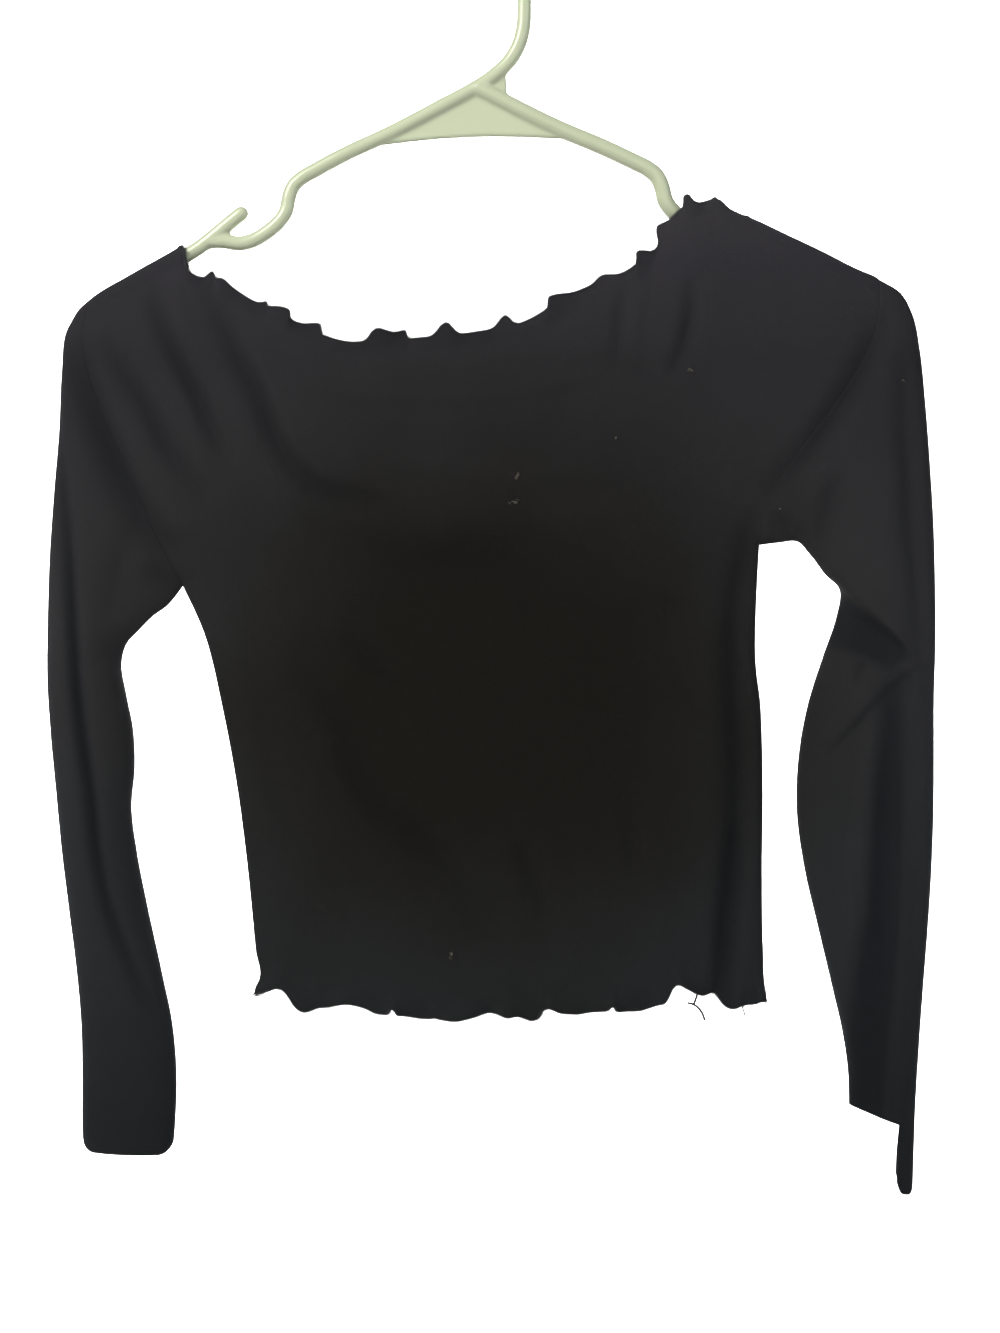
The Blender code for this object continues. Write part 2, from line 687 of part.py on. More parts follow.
def sleeve_point(edge, start, section, share, layer):
    """A point of a sleeve section, from its inner seam at share 0 to its outer fold at 1."""
    armhole = edge(UNDERARM_SHARE + share * (1.0 - UNDERARM_SHARE))
    chord = start[0] * (1.0 - share) + start[1] * share
    inner = np.array((section.inner_x, section.inner_z))
    outer = np.array((section.outer_x, section.outer_z))
    x, z = inner * (1.0 - share) + outer * share + section.bow * (armhole - chord)
    z -= section.tail * ease((share - TAIL_SHARES[0]) / (TAIL_SHARES[1] - TAIL_SHARES[0]))
    depth = 4.0 * section.half_depth ** 2 * share * (1.0 - share)
    return placed(layer, x, z, depth, section.middle_y)


def sleeve_sections(edge, table):
    """Every section of a sleeve, from its armhole to its cuff."""
    inner, outer = edge(UNDERARM_SHARE), edge(1.0)
    first = SleeveSection(*outer, *inner, ARMHOLE_HALF_DEPTH, 0.0, 1.0, 0.0)
    rows = np.array([first, *table])
    steps = (np.linalg.norm(np.diff(rows[:, 0:2], axis=0), axis=1)
             + np.linalg.norm(np.diff(rows[:, 2:4], axis=0), axis=1)) / 2.0
    along = np.concatenate(([0.0], np.cumsum(steps)))
    at = smooth(along, rows)
    distances = [0.0] + spread(0.0, SHOULDER_ROWS_REACH, SHOULDER_ROW_PITCH)
    distances += spread(distances[-1], along[-1], SLEEVE_ROW_PITCH)
    return [SleeveSection(*at(distance)) for distance in distances]


def ring_shares(section_index):
    """Shares across a sleeve section: the armhole's own for its first ring, then plain ones."""
    if section_index == 0:
        rows = [v for v in row_shares() if v > UNDERARM_SHARE - 1e-9]
        return [(v - UNDERARM_SHARE) / (1.0 - UNDERARM_SHARE) for v in rows]
    return list(SLEEVE_SHARES)


def add_sleeve(skin, edge, table, panel_layer, panel):
    """Add one sleeve to the skin, as rings from its armhole to its cuff."""
    start = (edge(UNDERARM_SHARE), edge(1.0))
    above = None
    for index, section in enumerate(sleeve_sections(edge, table)):
        shares = ring_shares(index)
        ring = [(share, sleeve_point(edge, start, section, share, FRONT)) for share in shares]
        ring += [(2.0 - share, sleeve_point(edge, start, section, share, BACK))
                 for share in reversed(shares[1:-1])]
        pairs = [(turn, skin.verts.new(point)) for turn, point in ring]
        pairs.append((2.0, pairs[0][1]))
        if above:
            zip_rows(skin, above, pairs, panel_layer, panel)
        above = pairs


PANELS = ("front", "back", "sleeve_left", "sleeve_right")


def cloth_skin():
    """Return the whole top as one open skin, with each face numbered by its panel."""
    skin = bmesh.new()
    panel_layer = skin.faces.layers.int.new("panel")
    add_body_panel(skin, FRONT, panel_layer, 0)
    add_body_panel(skin, BACK, panel_layer, 1)
    add_sleeve(skin, LEFT_EDGE, LEFT_SLEEVE, panel_layer, 2)
    add_sleeve(skin, RIGHT_EDGE, RIGHT_SLEEVE, panel_layer, 3)
    bmesh.ops.remove_doubles(skin, verts=skin.verts, dist=WELD)
    bmesh.ops.triangulate(skin, faces=skin.faces, quad_method="SHORT_EDGE")
    bmesh.ops.recalc_face_normals(skin, faces=skin.faces)
    foremost = min(skin.faces, key=lambda face: face.calc_center_median().y)
    if foremost.normal.y > 0.0:
        bmesh.ops.reverse_faces(skin, faces=skin.faces)
    skin.normal_update()
    return skin, panel_layer


# --- Panels with a wall --------------------------------------------------------------------
def inward(edge, face):
    """Direction in a face's plane from one of its edges to its inside."""
    along = (edge.verts[1].co - edge.verts[0].co).normalized()
    across = face.normal.cross(along)
    if across.dot(face.calc_center_median() - edge.verts[0].co) < 0.0:
        across.negate()
    return across


def seam_shift(vertex, panel, panel_layer):
    """How far a vertex of a panel is drawn back from its seams."""
    ways = []
    for edge in vertex.link_edges:
        own = [face for face in edge.link_faces if face[panel_layer] == panel]
        if len(own) == 1 and len(edge.link_faces) == 2:
            ways.append(inward(edge, own[0]))
    if not ways:
        return Vector((0.0, 0.0, 0.0))
    total = sum(ways, Vector((0.0, 0.0, 0.0)))
    mitre = 1.0 + (ways[0].dot(ways[1]) if len(ways) > 1 else 0.0)
    return total * (SEAM_GAP / 2.0) / max(mitre, LEAST_MITRE)


def panel_solid(skin, panel_layer, panel, name, material):
    """Cut one panel out of the skin and give it its wall."""
    solid = bmesh.new()
    outer, inner = {}, {}
    faces = [face for face in skin.faces if face[panel_layer] == panel]
    for face in faces:
        for vertex in face.verts:
            if vertex not in outer:
                middle = vertex.co + seam_shift(vertex, panel, panel_layer)
                half_wall = vertex.normal * (WALL / 2.0)
                outer[vertex] = solid.verts.new((middle + half_wall) * MM)
                inner[vertex] = solid.verts.new((middle - half_wall) * MM)
    for face in faces:
        solid.faces.new([outer[vertex] for vertex in face.verts])
        solid.faces.new([inner[vertex] for vertex in reversed(face.verts)])
        for loop in face.loops:
            others = [f for f in loop.edge.link_faces if f[panel_layer] == panel]
            if len(others) == 1:
                a, b = loop.vert, loop.link_loop_next.vert
                solid.faces.new((outer[b], outer[a], inner[a], inner[b]))
    bmesh.ops.triangulate(solid, faces=solid.faces)
    return add_object(name, solid, material)


# --- Hanger --------------------------------------------------------------------------------
def add_object(name, mesh_data, material):
    """Turn a bmesh into a named, smooth-shaded object."""
    mesh = bpy.data.meshes.new(name)
    mesh_data.to_mesh(mesh)
    mesh_data.free()
    mesh.materials.append(material)
    mesh.shade_smooth()
    item = bpy.data.objects.new(name, mesh)
    bpy.context.scene.collection.objects.link(item)
    return item


def tube(name, path, material):
    """Sweep a round section along a path in the XZ plane, with domed ends."""
    path = [Vector((x, 0.0, z)) for x, z in path]
    stations = []
    for i, centre in enumerate(path):
        ahead = path[min(i + 1, len(path) - 1)] - path[max(i - 1, 0)]
        stations.append((centre, ahead.normalized(), TUBE_RADIUS))
    dome = [(math.sin(angle), math.cos(angle)) for angle in np.radians(DOME_ANGLES)]
    for reach, size in dome:
        first, last = stations[0], stations[-1]
        start = path[0] - first[1] * TUBE_RADIUS * reach
        end = path[-1] + last[1] * TUBE_RADIUS * reach
        stations.insert(0, (start, first[1], TUBE_RADIUS * size))
        stations.append((end, last[1], TUBE_RADIUS * size))
    swept = bmesh.new()
    rings = []
    for centre, ahead, radius in stations:
        across = Vector((-ahead.z, 0.0, ahead.x))
        ring = []
        for k in range(TUBE_SIDES):
            angle = 2.0 * math.pi * (k + 0.5) / TUBE_SIDES
            offset = across * math.cos(angle) + Vector((0.0, 1.0, 0.0)) * math.sin(angle)
            ring.append(swept.verts.new((centre + offset * radius) * MM))
        rings.append(ring)
    for ring, following in zip(rings, rings[1:]):
        for k in range(TUBE_SIDES):
            after = (k + 1) % TUBE_SIDES
            swept.faces.new((ring[k], ring[after], following[after], following[k]))
    for ring in (rings[0], rings[-1]):
        swept.faces.new(ring)
    bmesh.ops.recalc_face_normals(swept, faces=swept.faces)
    return add_object(name, swept, material)


def web(name, outline, material):
    """A flat web of the hanger, from its outline on the untilted hanger."""
    plate = bmesh.new()
    half = Vector((0.0, WEB_THICKNESS / 2.0, 0.0))
    corners = [Vector((x, 0.0, z)) for x, z in tilted(outline)]
    face = plate.faces.new([plate.verts.new((corner - half) * MM) for corner in corners])
    grown = bmesh.ops.extrude_face_region(plate, geom=[face])
    moved = [item for item in grown["geom"] if isinstance(item, bmesh.types.BMVert)]
    bmesh.ops.translate(plate, verts=moved, vec=half * 2.0 * MM)
    bmesh.ops.recalc_face_normals(plate, faces=plate.faces)
    return add_object(name, plate, material)


def build_hanger(material):
    """Join the hanger's tubes and webs into one moulded body."""
    rail, hook, right_arm = [thinned(path) for path in PATHS]
    hanger = tube("hanger", rail, material)
    joined = (
        tube("hook_tube", hook, material),
        tube("right_arm_tube", right_arm, material),
        web("lower_web", LOWER_WEB, material),
        web("upper_web", UPPER_WEB, material),
    )
    for piece in joined:
        piece.hide_render = True
        piece.display_type = "WIRE"
        union = hanger.modifiers.new(piece.name, "BOOLEAN")
        union.operation = "UNION"
        union.solver = "EXACT"
        union.object = piece
    return hanger


# --- The whole part ------------------------------------------------------------------------
def finish(name, colour, roughness):
    """A Principled material of one colour."""
    material = bpy.data.materials.new(name)
    material.use_nodes = True
    shader = material.node_tree.nodes["Principled BSDF"]
    shader.inputs["Base Color"].default_value = colour
    shader.inputs["Roughness"].default_value = roughness
    shader.inputs["Metallic"].default_value = 0.0
    material.diffuse_color = colour
    return material


def clear_scene():
    """Remove whatever the scene holds."""
    for item in list(bpy.data.objects):
        bpy.data.objects.remove(item, do_unlink=True)


def main():
    """Build the top and its hanger, held together under one empty at the hook."""
    clear_scene()
    jersey = finish("black_jersey", CLOTH_COLOUR, 0.92)
    plastic = finish("pale_green_plastic", HANGER_COLOUR, 0.3)
    hung = bpy.data.objects.new("hung_here", None)
    bpy.context.scene.collection.objects.link(hung)
    skin, panel_layer = cloth_skin()
    for panel, name in enumerate(PANELS):
        panel_solid(skin, panel_layer, panel, name, jersey).parent = hung
    skin.free()
    build_hanger(plastic).parent = hung


main()
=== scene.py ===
"""The looks of a cropped jersey top with lettuce edges, hung on its moulded hanger.

The top is four knitted panels: front, back and two sleeves. They are drawn as one continuous
skin over the hanger, and each panel is then given its own thin wall, its knit and its creases.
The neckline and the hem have overlocked lettuce edges, and the cuffs are plain. The hanger is
one smooth moulding with a gusset web, strap notches and barbed prongs.

Sizes are in millimetres, and MM turns them into metres. X runs to the viewer's right, Y away
from the viewer and Z up. The origin is the highest point of the hook's inner side.
"""

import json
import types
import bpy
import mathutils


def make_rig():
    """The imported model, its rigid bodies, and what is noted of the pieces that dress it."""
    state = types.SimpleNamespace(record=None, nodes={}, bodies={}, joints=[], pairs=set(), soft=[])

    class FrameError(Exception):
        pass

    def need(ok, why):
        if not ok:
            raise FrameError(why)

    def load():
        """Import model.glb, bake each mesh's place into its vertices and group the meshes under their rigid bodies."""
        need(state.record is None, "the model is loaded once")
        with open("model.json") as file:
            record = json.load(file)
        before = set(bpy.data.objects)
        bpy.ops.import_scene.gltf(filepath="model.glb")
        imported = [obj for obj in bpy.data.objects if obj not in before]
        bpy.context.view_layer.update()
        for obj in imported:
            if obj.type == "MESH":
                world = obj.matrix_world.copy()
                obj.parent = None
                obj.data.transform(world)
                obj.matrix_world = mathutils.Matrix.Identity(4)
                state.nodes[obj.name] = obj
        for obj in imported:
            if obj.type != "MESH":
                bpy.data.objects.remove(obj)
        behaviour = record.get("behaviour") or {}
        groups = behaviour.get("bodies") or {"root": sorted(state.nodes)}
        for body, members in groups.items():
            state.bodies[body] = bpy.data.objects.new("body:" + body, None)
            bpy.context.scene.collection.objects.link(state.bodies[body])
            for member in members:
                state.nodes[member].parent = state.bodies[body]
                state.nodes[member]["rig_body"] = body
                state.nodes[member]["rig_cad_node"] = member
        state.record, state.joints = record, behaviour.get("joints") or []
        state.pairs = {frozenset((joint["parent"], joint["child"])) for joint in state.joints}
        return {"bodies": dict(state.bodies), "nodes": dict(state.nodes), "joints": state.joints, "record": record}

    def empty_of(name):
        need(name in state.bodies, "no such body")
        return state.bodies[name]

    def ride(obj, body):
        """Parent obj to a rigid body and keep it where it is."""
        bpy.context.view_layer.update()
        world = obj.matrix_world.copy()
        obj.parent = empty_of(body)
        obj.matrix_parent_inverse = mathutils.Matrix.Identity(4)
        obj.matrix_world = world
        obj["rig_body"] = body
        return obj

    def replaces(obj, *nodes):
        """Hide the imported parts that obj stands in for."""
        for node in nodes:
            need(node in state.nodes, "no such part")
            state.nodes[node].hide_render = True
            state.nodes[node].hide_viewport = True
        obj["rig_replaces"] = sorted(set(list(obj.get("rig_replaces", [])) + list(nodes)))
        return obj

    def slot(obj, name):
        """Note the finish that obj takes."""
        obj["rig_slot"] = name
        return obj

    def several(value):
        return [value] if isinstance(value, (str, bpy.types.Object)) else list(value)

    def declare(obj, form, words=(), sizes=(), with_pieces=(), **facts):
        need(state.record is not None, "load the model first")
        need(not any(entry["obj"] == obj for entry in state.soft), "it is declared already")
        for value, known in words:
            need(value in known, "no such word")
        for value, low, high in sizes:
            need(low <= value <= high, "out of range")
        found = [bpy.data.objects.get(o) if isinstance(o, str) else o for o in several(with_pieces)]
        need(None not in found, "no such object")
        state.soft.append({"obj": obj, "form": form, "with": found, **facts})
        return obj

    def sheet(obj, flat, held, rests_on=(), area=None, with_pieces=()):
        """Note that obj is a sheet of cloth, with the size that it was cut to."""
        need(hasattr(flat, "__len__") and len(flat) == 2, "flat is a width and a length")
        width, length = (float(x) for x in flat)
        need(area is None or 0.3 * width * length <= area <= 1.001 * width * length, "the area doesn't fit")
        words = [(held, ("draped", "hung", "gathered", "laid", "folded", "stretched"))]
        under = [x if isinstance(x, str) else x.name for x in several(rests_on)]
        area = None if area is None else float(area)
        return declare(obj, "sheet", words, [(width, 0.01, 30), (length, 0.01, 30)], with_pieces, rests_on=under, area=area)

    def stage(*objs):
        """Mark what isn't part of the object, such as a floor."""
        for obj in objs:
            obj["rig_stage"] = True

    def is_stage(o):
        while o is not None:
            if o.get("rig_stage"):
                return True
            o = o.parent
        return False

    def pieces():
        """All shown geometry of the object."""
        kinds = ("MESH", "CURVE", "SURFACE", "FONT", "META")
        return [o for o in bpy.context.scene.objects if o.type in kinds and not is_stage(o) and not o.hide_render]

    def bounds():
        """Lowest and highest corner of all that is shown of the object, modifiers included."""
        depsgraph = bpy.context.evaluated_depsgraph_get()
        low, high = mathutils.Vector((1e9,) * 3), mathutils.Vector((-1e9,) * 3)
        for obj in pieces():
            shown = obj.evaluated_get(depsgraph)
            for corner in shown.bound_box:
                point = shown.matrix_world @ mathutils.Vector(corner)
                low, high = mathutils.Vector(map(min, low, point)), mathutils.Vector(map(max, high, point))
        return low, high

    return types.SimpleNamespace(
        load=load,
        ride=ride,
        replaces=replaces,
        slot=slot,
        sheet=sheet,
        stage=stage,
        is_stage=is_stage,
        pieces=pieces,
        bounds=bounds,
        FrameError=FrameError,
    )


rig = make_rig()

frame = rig.load()

import json
import logging
import math
from collections.abc import Callable, Mapping, Sequence
from dataclasses import astuple, dataclass, field
from enum import Enum
from typing import TypeVar

import bmesh
import bpy
import numpy as np
from bpy.types import Material, Mesh, Node, NodeSocket, NodeTree, Object
from mathutils import Vector
from mathutils.kdtree import KDTree

MM = 0.001
SIZE_FILE = "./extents.json"
LOG = logging.getLogger("hanging_top")
TINY = 1e-9
STEP_GROWTH = 1.3
NEARLY_PARALLEL = 0.1
WHITE = (1.0, 1.0, 1.0, 1.0)

Row = TypeVar("Row")
Array = np.ndarray
Curve = Callable[[Array], Array]
Colour = tuple[float, float, float, float]
Inputs = Mapping[str | int, object]
Ring = tuple[Vector, Vector, float]


class Slot(Enum):
    """The material slots of the part."""

    JERSEY = "jersey"
    HANGER = "hanger_plastic"


@dataclass(frozen=True)
class Point:
    """A point in the plane of the hanger."""

    x: float
    z: float


def rows_of(kind: Callable[..., Row], *rows: tuple[float, ...]) -> tuple[Row, ...]:
    """Return a record of one kind for each row of numbers."""
    return tuple(kind(*row) for row in rows)


def pairs(points: Sequence[Point]) -> list[tuple[float, float]]:
    """Return points as pairs of x and z."""
    return [(point.x, point.z) for point in points]


# --- Curves ---------------------------------------------------------------------------------
def smooth(keys: Sequence[float], values: Sequence[Sequence[float]]) -> Curve:
    """Make a smooth curve through values.

    Args:
        keys: rising keys, one for each value.
        values: rows of numbers that the curve runs through.

    Returns:
        A function from an array of keys to an array of values.
    """
    knots = np.asarray(keys, dtype=float)
    rows = np.asarray(values, dtype=float)
    slopes = np.gradient(rows, knots, axis=0)

    def at(key: Array) -> Array:
        """Return the curve at an array of keys."""
        place = np.clip(np.asarray(key, dtype=float), knots[0], knots[-1])
        i = np.minimum(np.searchsorted(knots, place, side="right") - 1, len(knots) - 2)
        span = (knots[i + 1] - knots[i])[..., None]
        t = (place - knots[i])[..., None] / span
        rise = t * t * (3.0 - 2.0 * t)
        bends = slopes[i] * t * (1.0 - t) ** 2 + slopes[i + 1] * t * t * (t - 1.0)
        return rows[i] * (1.0 - rise) + rows[i + 1] * rise + span * bends

    return at


def trace(points: Sequence[Sequence[float]]) -> tuple[Curve, float]:
    """Run a smooth curve through points.

    Args:
        points: the points, in order.

    Returns:
        A function from shares of the curve's length to points, and that length.
    """
    line = np.asarray(points, dtype=float)
    along = np.concatenate(([0.0], np.cumsum(np.linalg.norm(np.diff(line, axis=0), axis=1))))
    return smooth(along / along[-1], line), float(along[-1])


def sampled(points: Sequence[Sequence[float]], pitch: float) -> Array:
    """Sample the smooth curve through points.

    Args:
        points: the points, in order.
        pitch: the distance between samples.

    Returns:
        The samples, from the first point to the last.
    """
    at, length = trace(points)
    count = max(2, math.ceil(length / pitch))
    return at(np.linspace(0.0, 1.0, count + 1))


def ease(t: Array) -> Array:
    """Rise smoothly from 0 to 1 as t does."""
    t = np.clip(t, 0.0, 1.0)
    return t * t * (3.0 - 2.0 * t)


def graded(start: float, end: float, first: float, last: float, coarse: float) -> Array:
    """Step from start to end with small steps at both ends and larger ones between them.

    Args:
        start: the first value.
        end: the last value.
        first: size of the first step.
        last: size of the last step.
        coarse: size of the largest steps.

    Returns:
        The values, with start and end among them.
    """
    places = [0.0]
    span = abs(end - start)
    while places[-1] < span:
        grown = first * STEP_GROWTH ** (len(places) - 1)
        shrinking = last + (span - places[-1]) * (STEP_GROWTH - 1.0) / STEP_GROWTH
        places.append(places[-1] + min(grown, coarse, shrinking))
    scaled = np.array(places) * span / places[-1]
    return start + np.sign(end - start) * scaled


# --- The hanger's lines ---------------------------------------------------------------------
@dataclass(frozen=True)
class HangerLines:
    """Centre lines of the hanger's tubes and outlines of its webs."""

    tube_radius: float = 4.0
    hook_radius: float = 28.4
    hook_tip_drop: float = 13.0
    hook_points: int = 25
    tilt: float = math.radians(1.5)
    pitch: float = 1.0
    bar_z: float = -236.0
    outer_arm: tuple[Point, ...] = rows_of(
        Point,
        (126.6, -162.3), (130.6, -166.6), (137.2, -171.0), (147.0, -175.8), (158.0, -181.9),
        (182.0, -194.6), (201.0, -205.4), (208.5, -211.8), (211.5, -220.5), (208.0, -229.0),
        (199.0, -234.0), (185.0, -235.5),
    )
    left_prong: tuple[Point, ...] = rows_of(
        Point,
        (-124.4, -158.4), (-130.6, -163.2), (-137.2, -168.4),
    )
    notch: tuple[Point, ...] = rows_of(
        Point,
        (141.5, -172.6), (134.0, -172.8), (126.0, -174.2), (118.6, -172.8), (111.0, -168.6),
        (104.6, -163.4), (100.6, -157.8), (99.0, -150.8), (96.4, -144.6), (91.8, -140.4),
        (84.8, -136.6), (69.0, -128.6),
    )
    neck_bend: tuple[Point, ...] = rows_of(
        Point,
        (-45.0, -118.2), (-12.0, -102.0), (-1.5, -96.8), (8.4, -91.0), (15.2, -85.8),
        (21.0, -79.8), (25.0, -72.8), (27.6, -64.0), (28.4, -54.0), (28.4, -39.0),
    )
    right_arm_top: tuple[Point, ...] = rows_of(
        Point,
        (46.0, -118.2), (3.0, -95.4),
    )
    lower_web: tuple[Point, ...] = rows_of(
        Point,
        (-52.0, -123.0), (-26.0, -120.6), (1.0, -119.6), (27.0, -120.4), (54.0, -122.4),
        (3.0, -96.0),
    )
    upper_web: tuple[Point, ...] = rows_of(
        Point,
        (5.0, -95.0), (8.0, -98.0), (18.0, -103.4), (18.0, -81.6),
    )

    def tilted(self, points: Sequence[Sequence[float]]) -> Array:
        """Turn points of the level hanger about the hook's contact point.

        Args:
            points: rows of x and z.

        Returns:
            The same points on the hanger as it hangs.
        """
        x, z = np.asarray(points, dtype=float).T
        cos, sin = math.cos(self.tilt), math.sin(self.tilt)
        return np.column_stack((x * cos - z * sin, z * cos + x * sin))

    def rail(self) -> Array:
        """Run from prong to prong round both shoulders and the bottom bar.

        Returns:
            The points of the line, x and z.
        """
        right, left = pairs(self.outer_arm), pairs(self.left_prong)
        left += [(-x, z) for x, z in right[len(left):]]
        return self.tilted(sampled(left + [(0.0, self.bar_z)] + right[::-1], self.pitch))

    def hook(self) -> Array:
        """Run from the left notch over the left arm and round the hook.

        Returns:
            The points of the line, x and z.
        """
        centre = self.tube_radius - self.hook_radius
        turn = [
            (self.hook_radius * math.cos(angle), centre + self.hook_radius * math.sin(angle))
            for angle in np.linspace(0.0, math.pi, self.hook_points)
        ]
        line = [(-x, z) for x, z in pairs(self.notch)] + pairs(self.neck_bend)
        line += turn + [(-self.hook_radius, centre - self.hook_tip_drop)]
        return self.tilted(sampled(line, self.pitch))

    def right_arm(self) -> Array:
        """Return the line from the right notch to the top of the right arm."""
        return self.tilted(sampled(pairs(self.notch + self.right_arm_top), self.pitch))

    def lip(self) -> Array:
        """Return the line of the thin lip under the lower web."""
        return self.tilted(sampled(pairs(self.lower_web[:-1]), self.pitch))

    def web(self, outline: tuple[Point, ...]) -> Array:
        """Return a web's outline on the hanger as it hangs."""
        return self.tilted(pairs(outline))

    def all_points(self) -> Array:
        """Return the points of every centre line."""
        return np.vstack((self.rail(), self.hook(), self.right_arm()))


# --- The cut of the top ---------------------------------------------------------------------
@dataclass(frozen=True)
class Side:
    """A height on both edges of a body panel: side seams first, armholes above them."""

    share: float
    left_x: float
    left_z: float
    right_x: float
    right_z: float


@dataclass(frozen=True)
class HemPoint:
    """Height of the hem at a share of its width."""

    share: float
    z: float


@dataclass(frozen=True)
class Wave:
    """One curl of a lettuce edge.

    It stands at x, rises out of the edge by lift and sways by swing, away from the wearer on
    the front where that is negative. It is reach_before and reach_after wide on its two sides.
    """

    x: float
    lift: float
    reach_before: float
    reach_after: float
    swing: float


@dataclass(frozen=True)
class Crease:
    """A soft trough in the cloth, or a ridge where its depth is negative.

    Its far side is the one to the right of its path, and is as wide as the near side where
    far_width is 0. A crease with a lap pushes its crest over its far side. Its shade is how
    much painted shade darkens the cloth's colour with its depth, and how much painted light
    lightens a ridge.
    """

    name: str
    depth: float
    width: float
    path: tuple[tuple[float, float], ...]
    far_width: float = 0.0
    lap: float = 0.0
    shade: float = 1.0


@dataclass(frozen=True)
class SleeveSection:
    """A flat section of a sleeve, from its outer fold to its inner seam.

    Its bow is how much it follows the armhole's curve, and its tail is how far its outer part
    hangs down.
    """

    outer_x: float
    outer_z: float
    inner_x: float
    inner_z: float
    half_depth: float
    middle_y: float
    bow: float = 0.0
    tail: float = 0.0


@dataclass(frozen=True)
class Ripple:
    """A sine wave in the cloth, by how far it runs across and up for each radian."""

    across: float
    up: float
    start: float = 0.0

    def at(self, x: Array, z: Array, turn: float = 0.0) -> Array:
        """Return the wave's height at each place, turned on by an angle."""
        return np.sin(x / self.across + z / self.up + self.start + turn)


@dataclass(frozen=True)
class Layer:
    """What sets the front layer of the top apart from the back one.

    It faces the camera where facing is -1, and its neckline drops by neck_drop in the middle.
    """

    name: str
    facing: int
    fullness: float
    neck_drop: float
    creases: tuple[Crease, ...]
    neck_waves: tuple[Wave, ...]
    hem_waves: tuple[Wave, ...]


SIDES = rows_of(
    Side,
    (0.000, -113, -575.5, 158, -579), (0.010, -112.5, -571.8, 158, -575.5),
    (0.020, -110.6, -568, 157.2, -571), (0.065, -112.2, -552, 156.2, -552),
    (0.175, -116.3, -510, 155.6, -510), (0.290, -121.8, -467, 156, -467),
    (0.400, -129.5, -425, 155, -425), (0.505, -139.5, -384, 152, -388),
    (0.580, -151, -358.5, 154.2, -337), (0.665, -167, -327, 158, -314),
    (0.745, -179, -298, 174, -289), (0.810, -190, -275, 194, -262),
    (0.875, -199, -251, 208, -240), (0.940, -203, -228, 216, -219),
)

NECKLINE = rows_of(
    Point,
    (-150.4, -179.8), (-148.9, -186), (-148.0, -192.4), (-141, -196.4), (-126, -200.8),
    (-111.8, -209.2), (-94, -218), (-77, -226.2), (-64, -230), (-44, -229.2), (-24, -228),
    (-3, -226.2), (12, -223.8), (29, -220), (42, -213.2), (60, -202.5), (78, -196), (89, -189.5),
    (98.5, -181.5), (103.5, -173), (108, -165), (114.8, -159.2), (122.5, -157),
)

HEM_LINE = rows_of(
    HemPoint,
    (0.000, -575.2), (0.067, -576.2), (0.076, -580.4), (0.135, -582.3), (0.197, -581.2),
    (0.240, -585.3), (0.293, -587.0), (0.342, -588.4), (0.384, -589.1), (0.420, -588.3),
    (0.478, -586.4), (0.490, -587.3), (0.513, -587.5), (0.544, -589.5), (0.555, -588.4),
    (0.561, -585.2), (0.571, -583.9), (0.590, -585.5), (0.682, -585.0), (0.749, -584.6),
    (0.786, -582.1), (0.806, -579.0), (0.812, -574.8), (0.845, -574.3), (0.868, -577.0),
    (0.903, -577.4), (0.910, -580.6), (0.952, -582.1), (1.000, -580.2),
)

FRONT_NECK_WAVES = rows_of(
    Wave,
    (-148.4, 0.8, 3.0, 3.4, -1.6), (-135.8, 5.4, 3.0, 2.2, 2.6), (-130.0, 2.6, 3.0, 4.0, -1.6),
    (-107.4, 2.6, 2.4, 1.0, 2.0), (-96.0, 4.2, 9.4, 1.7, -3.0), (-79.6, 5.0, 7.0, 2.0, 3.0),
    (-47.2, 5.8, 4.2, 8.0, -3.2), (-32.6, 4.6, 6.5, 1.2, 3.0), (-10.6, 6.4, 5.2, 3.8, -3.4),
    (21.0, 6.4, 5.8, 3.2, 3.2), (45.6, 4.8, 2.2, 8.5, -3.2), (72.0, 3.8, 5.5, 7.0, 2.8),
    (92.6, 5.0, 2.4, 4.4, -3.0), (104.2, 4.8, 4.0, 4.4, 3.0), (116.6, 5.7, 1.8, 2.2, -2.0),
)

FRONT_HEM_WAVES = rows_of(
    Wave,
    (-105.0, 0.5, 4.0, 4.0, -2.6), (-84.0, 0.7, 5.0, 5.0, 2.4), (-65.0, -0.6, 5.0, 4.0, -2.8),
    (-48.0, 0.7, 3.0, 3.0, 1.8), (-39.4, -3.4, 1.9, 1.7, -3.0), (-24.0, 0.7, 6.0, 5.0, 2.8),
    (-17.1, -0.8, 1.2, 1.2, 0.0), (-6.5, 0.6, 4.0, 6.0, -2.6), (10.0, -0.5, 5.0, 4.0, 2.4),
    (20.0, 0.6, 1.6, 4.0, -2.4), (34.0, 0.6, 5.0, 3.0, 3.0), (43.0, -0.6, 2.5, 4.0, -2.6),
    (59.0, 0.6, 5.0, 4.0, 2.6), (76.4, -2.5, 2.2, 0.9, -2.8), (91.0, 0.7, 5.0, 4.0, 2.6),
    (113.0, -0.6, 5.0, 5.0, -3.2), (129.0, 0.5, 4.0, 3.0, 2.8), (141.0, 0.8, 4.0, 3.0, -2.6),
    (152.0, 0.6, 3.0, 3.0, 2.2),
)

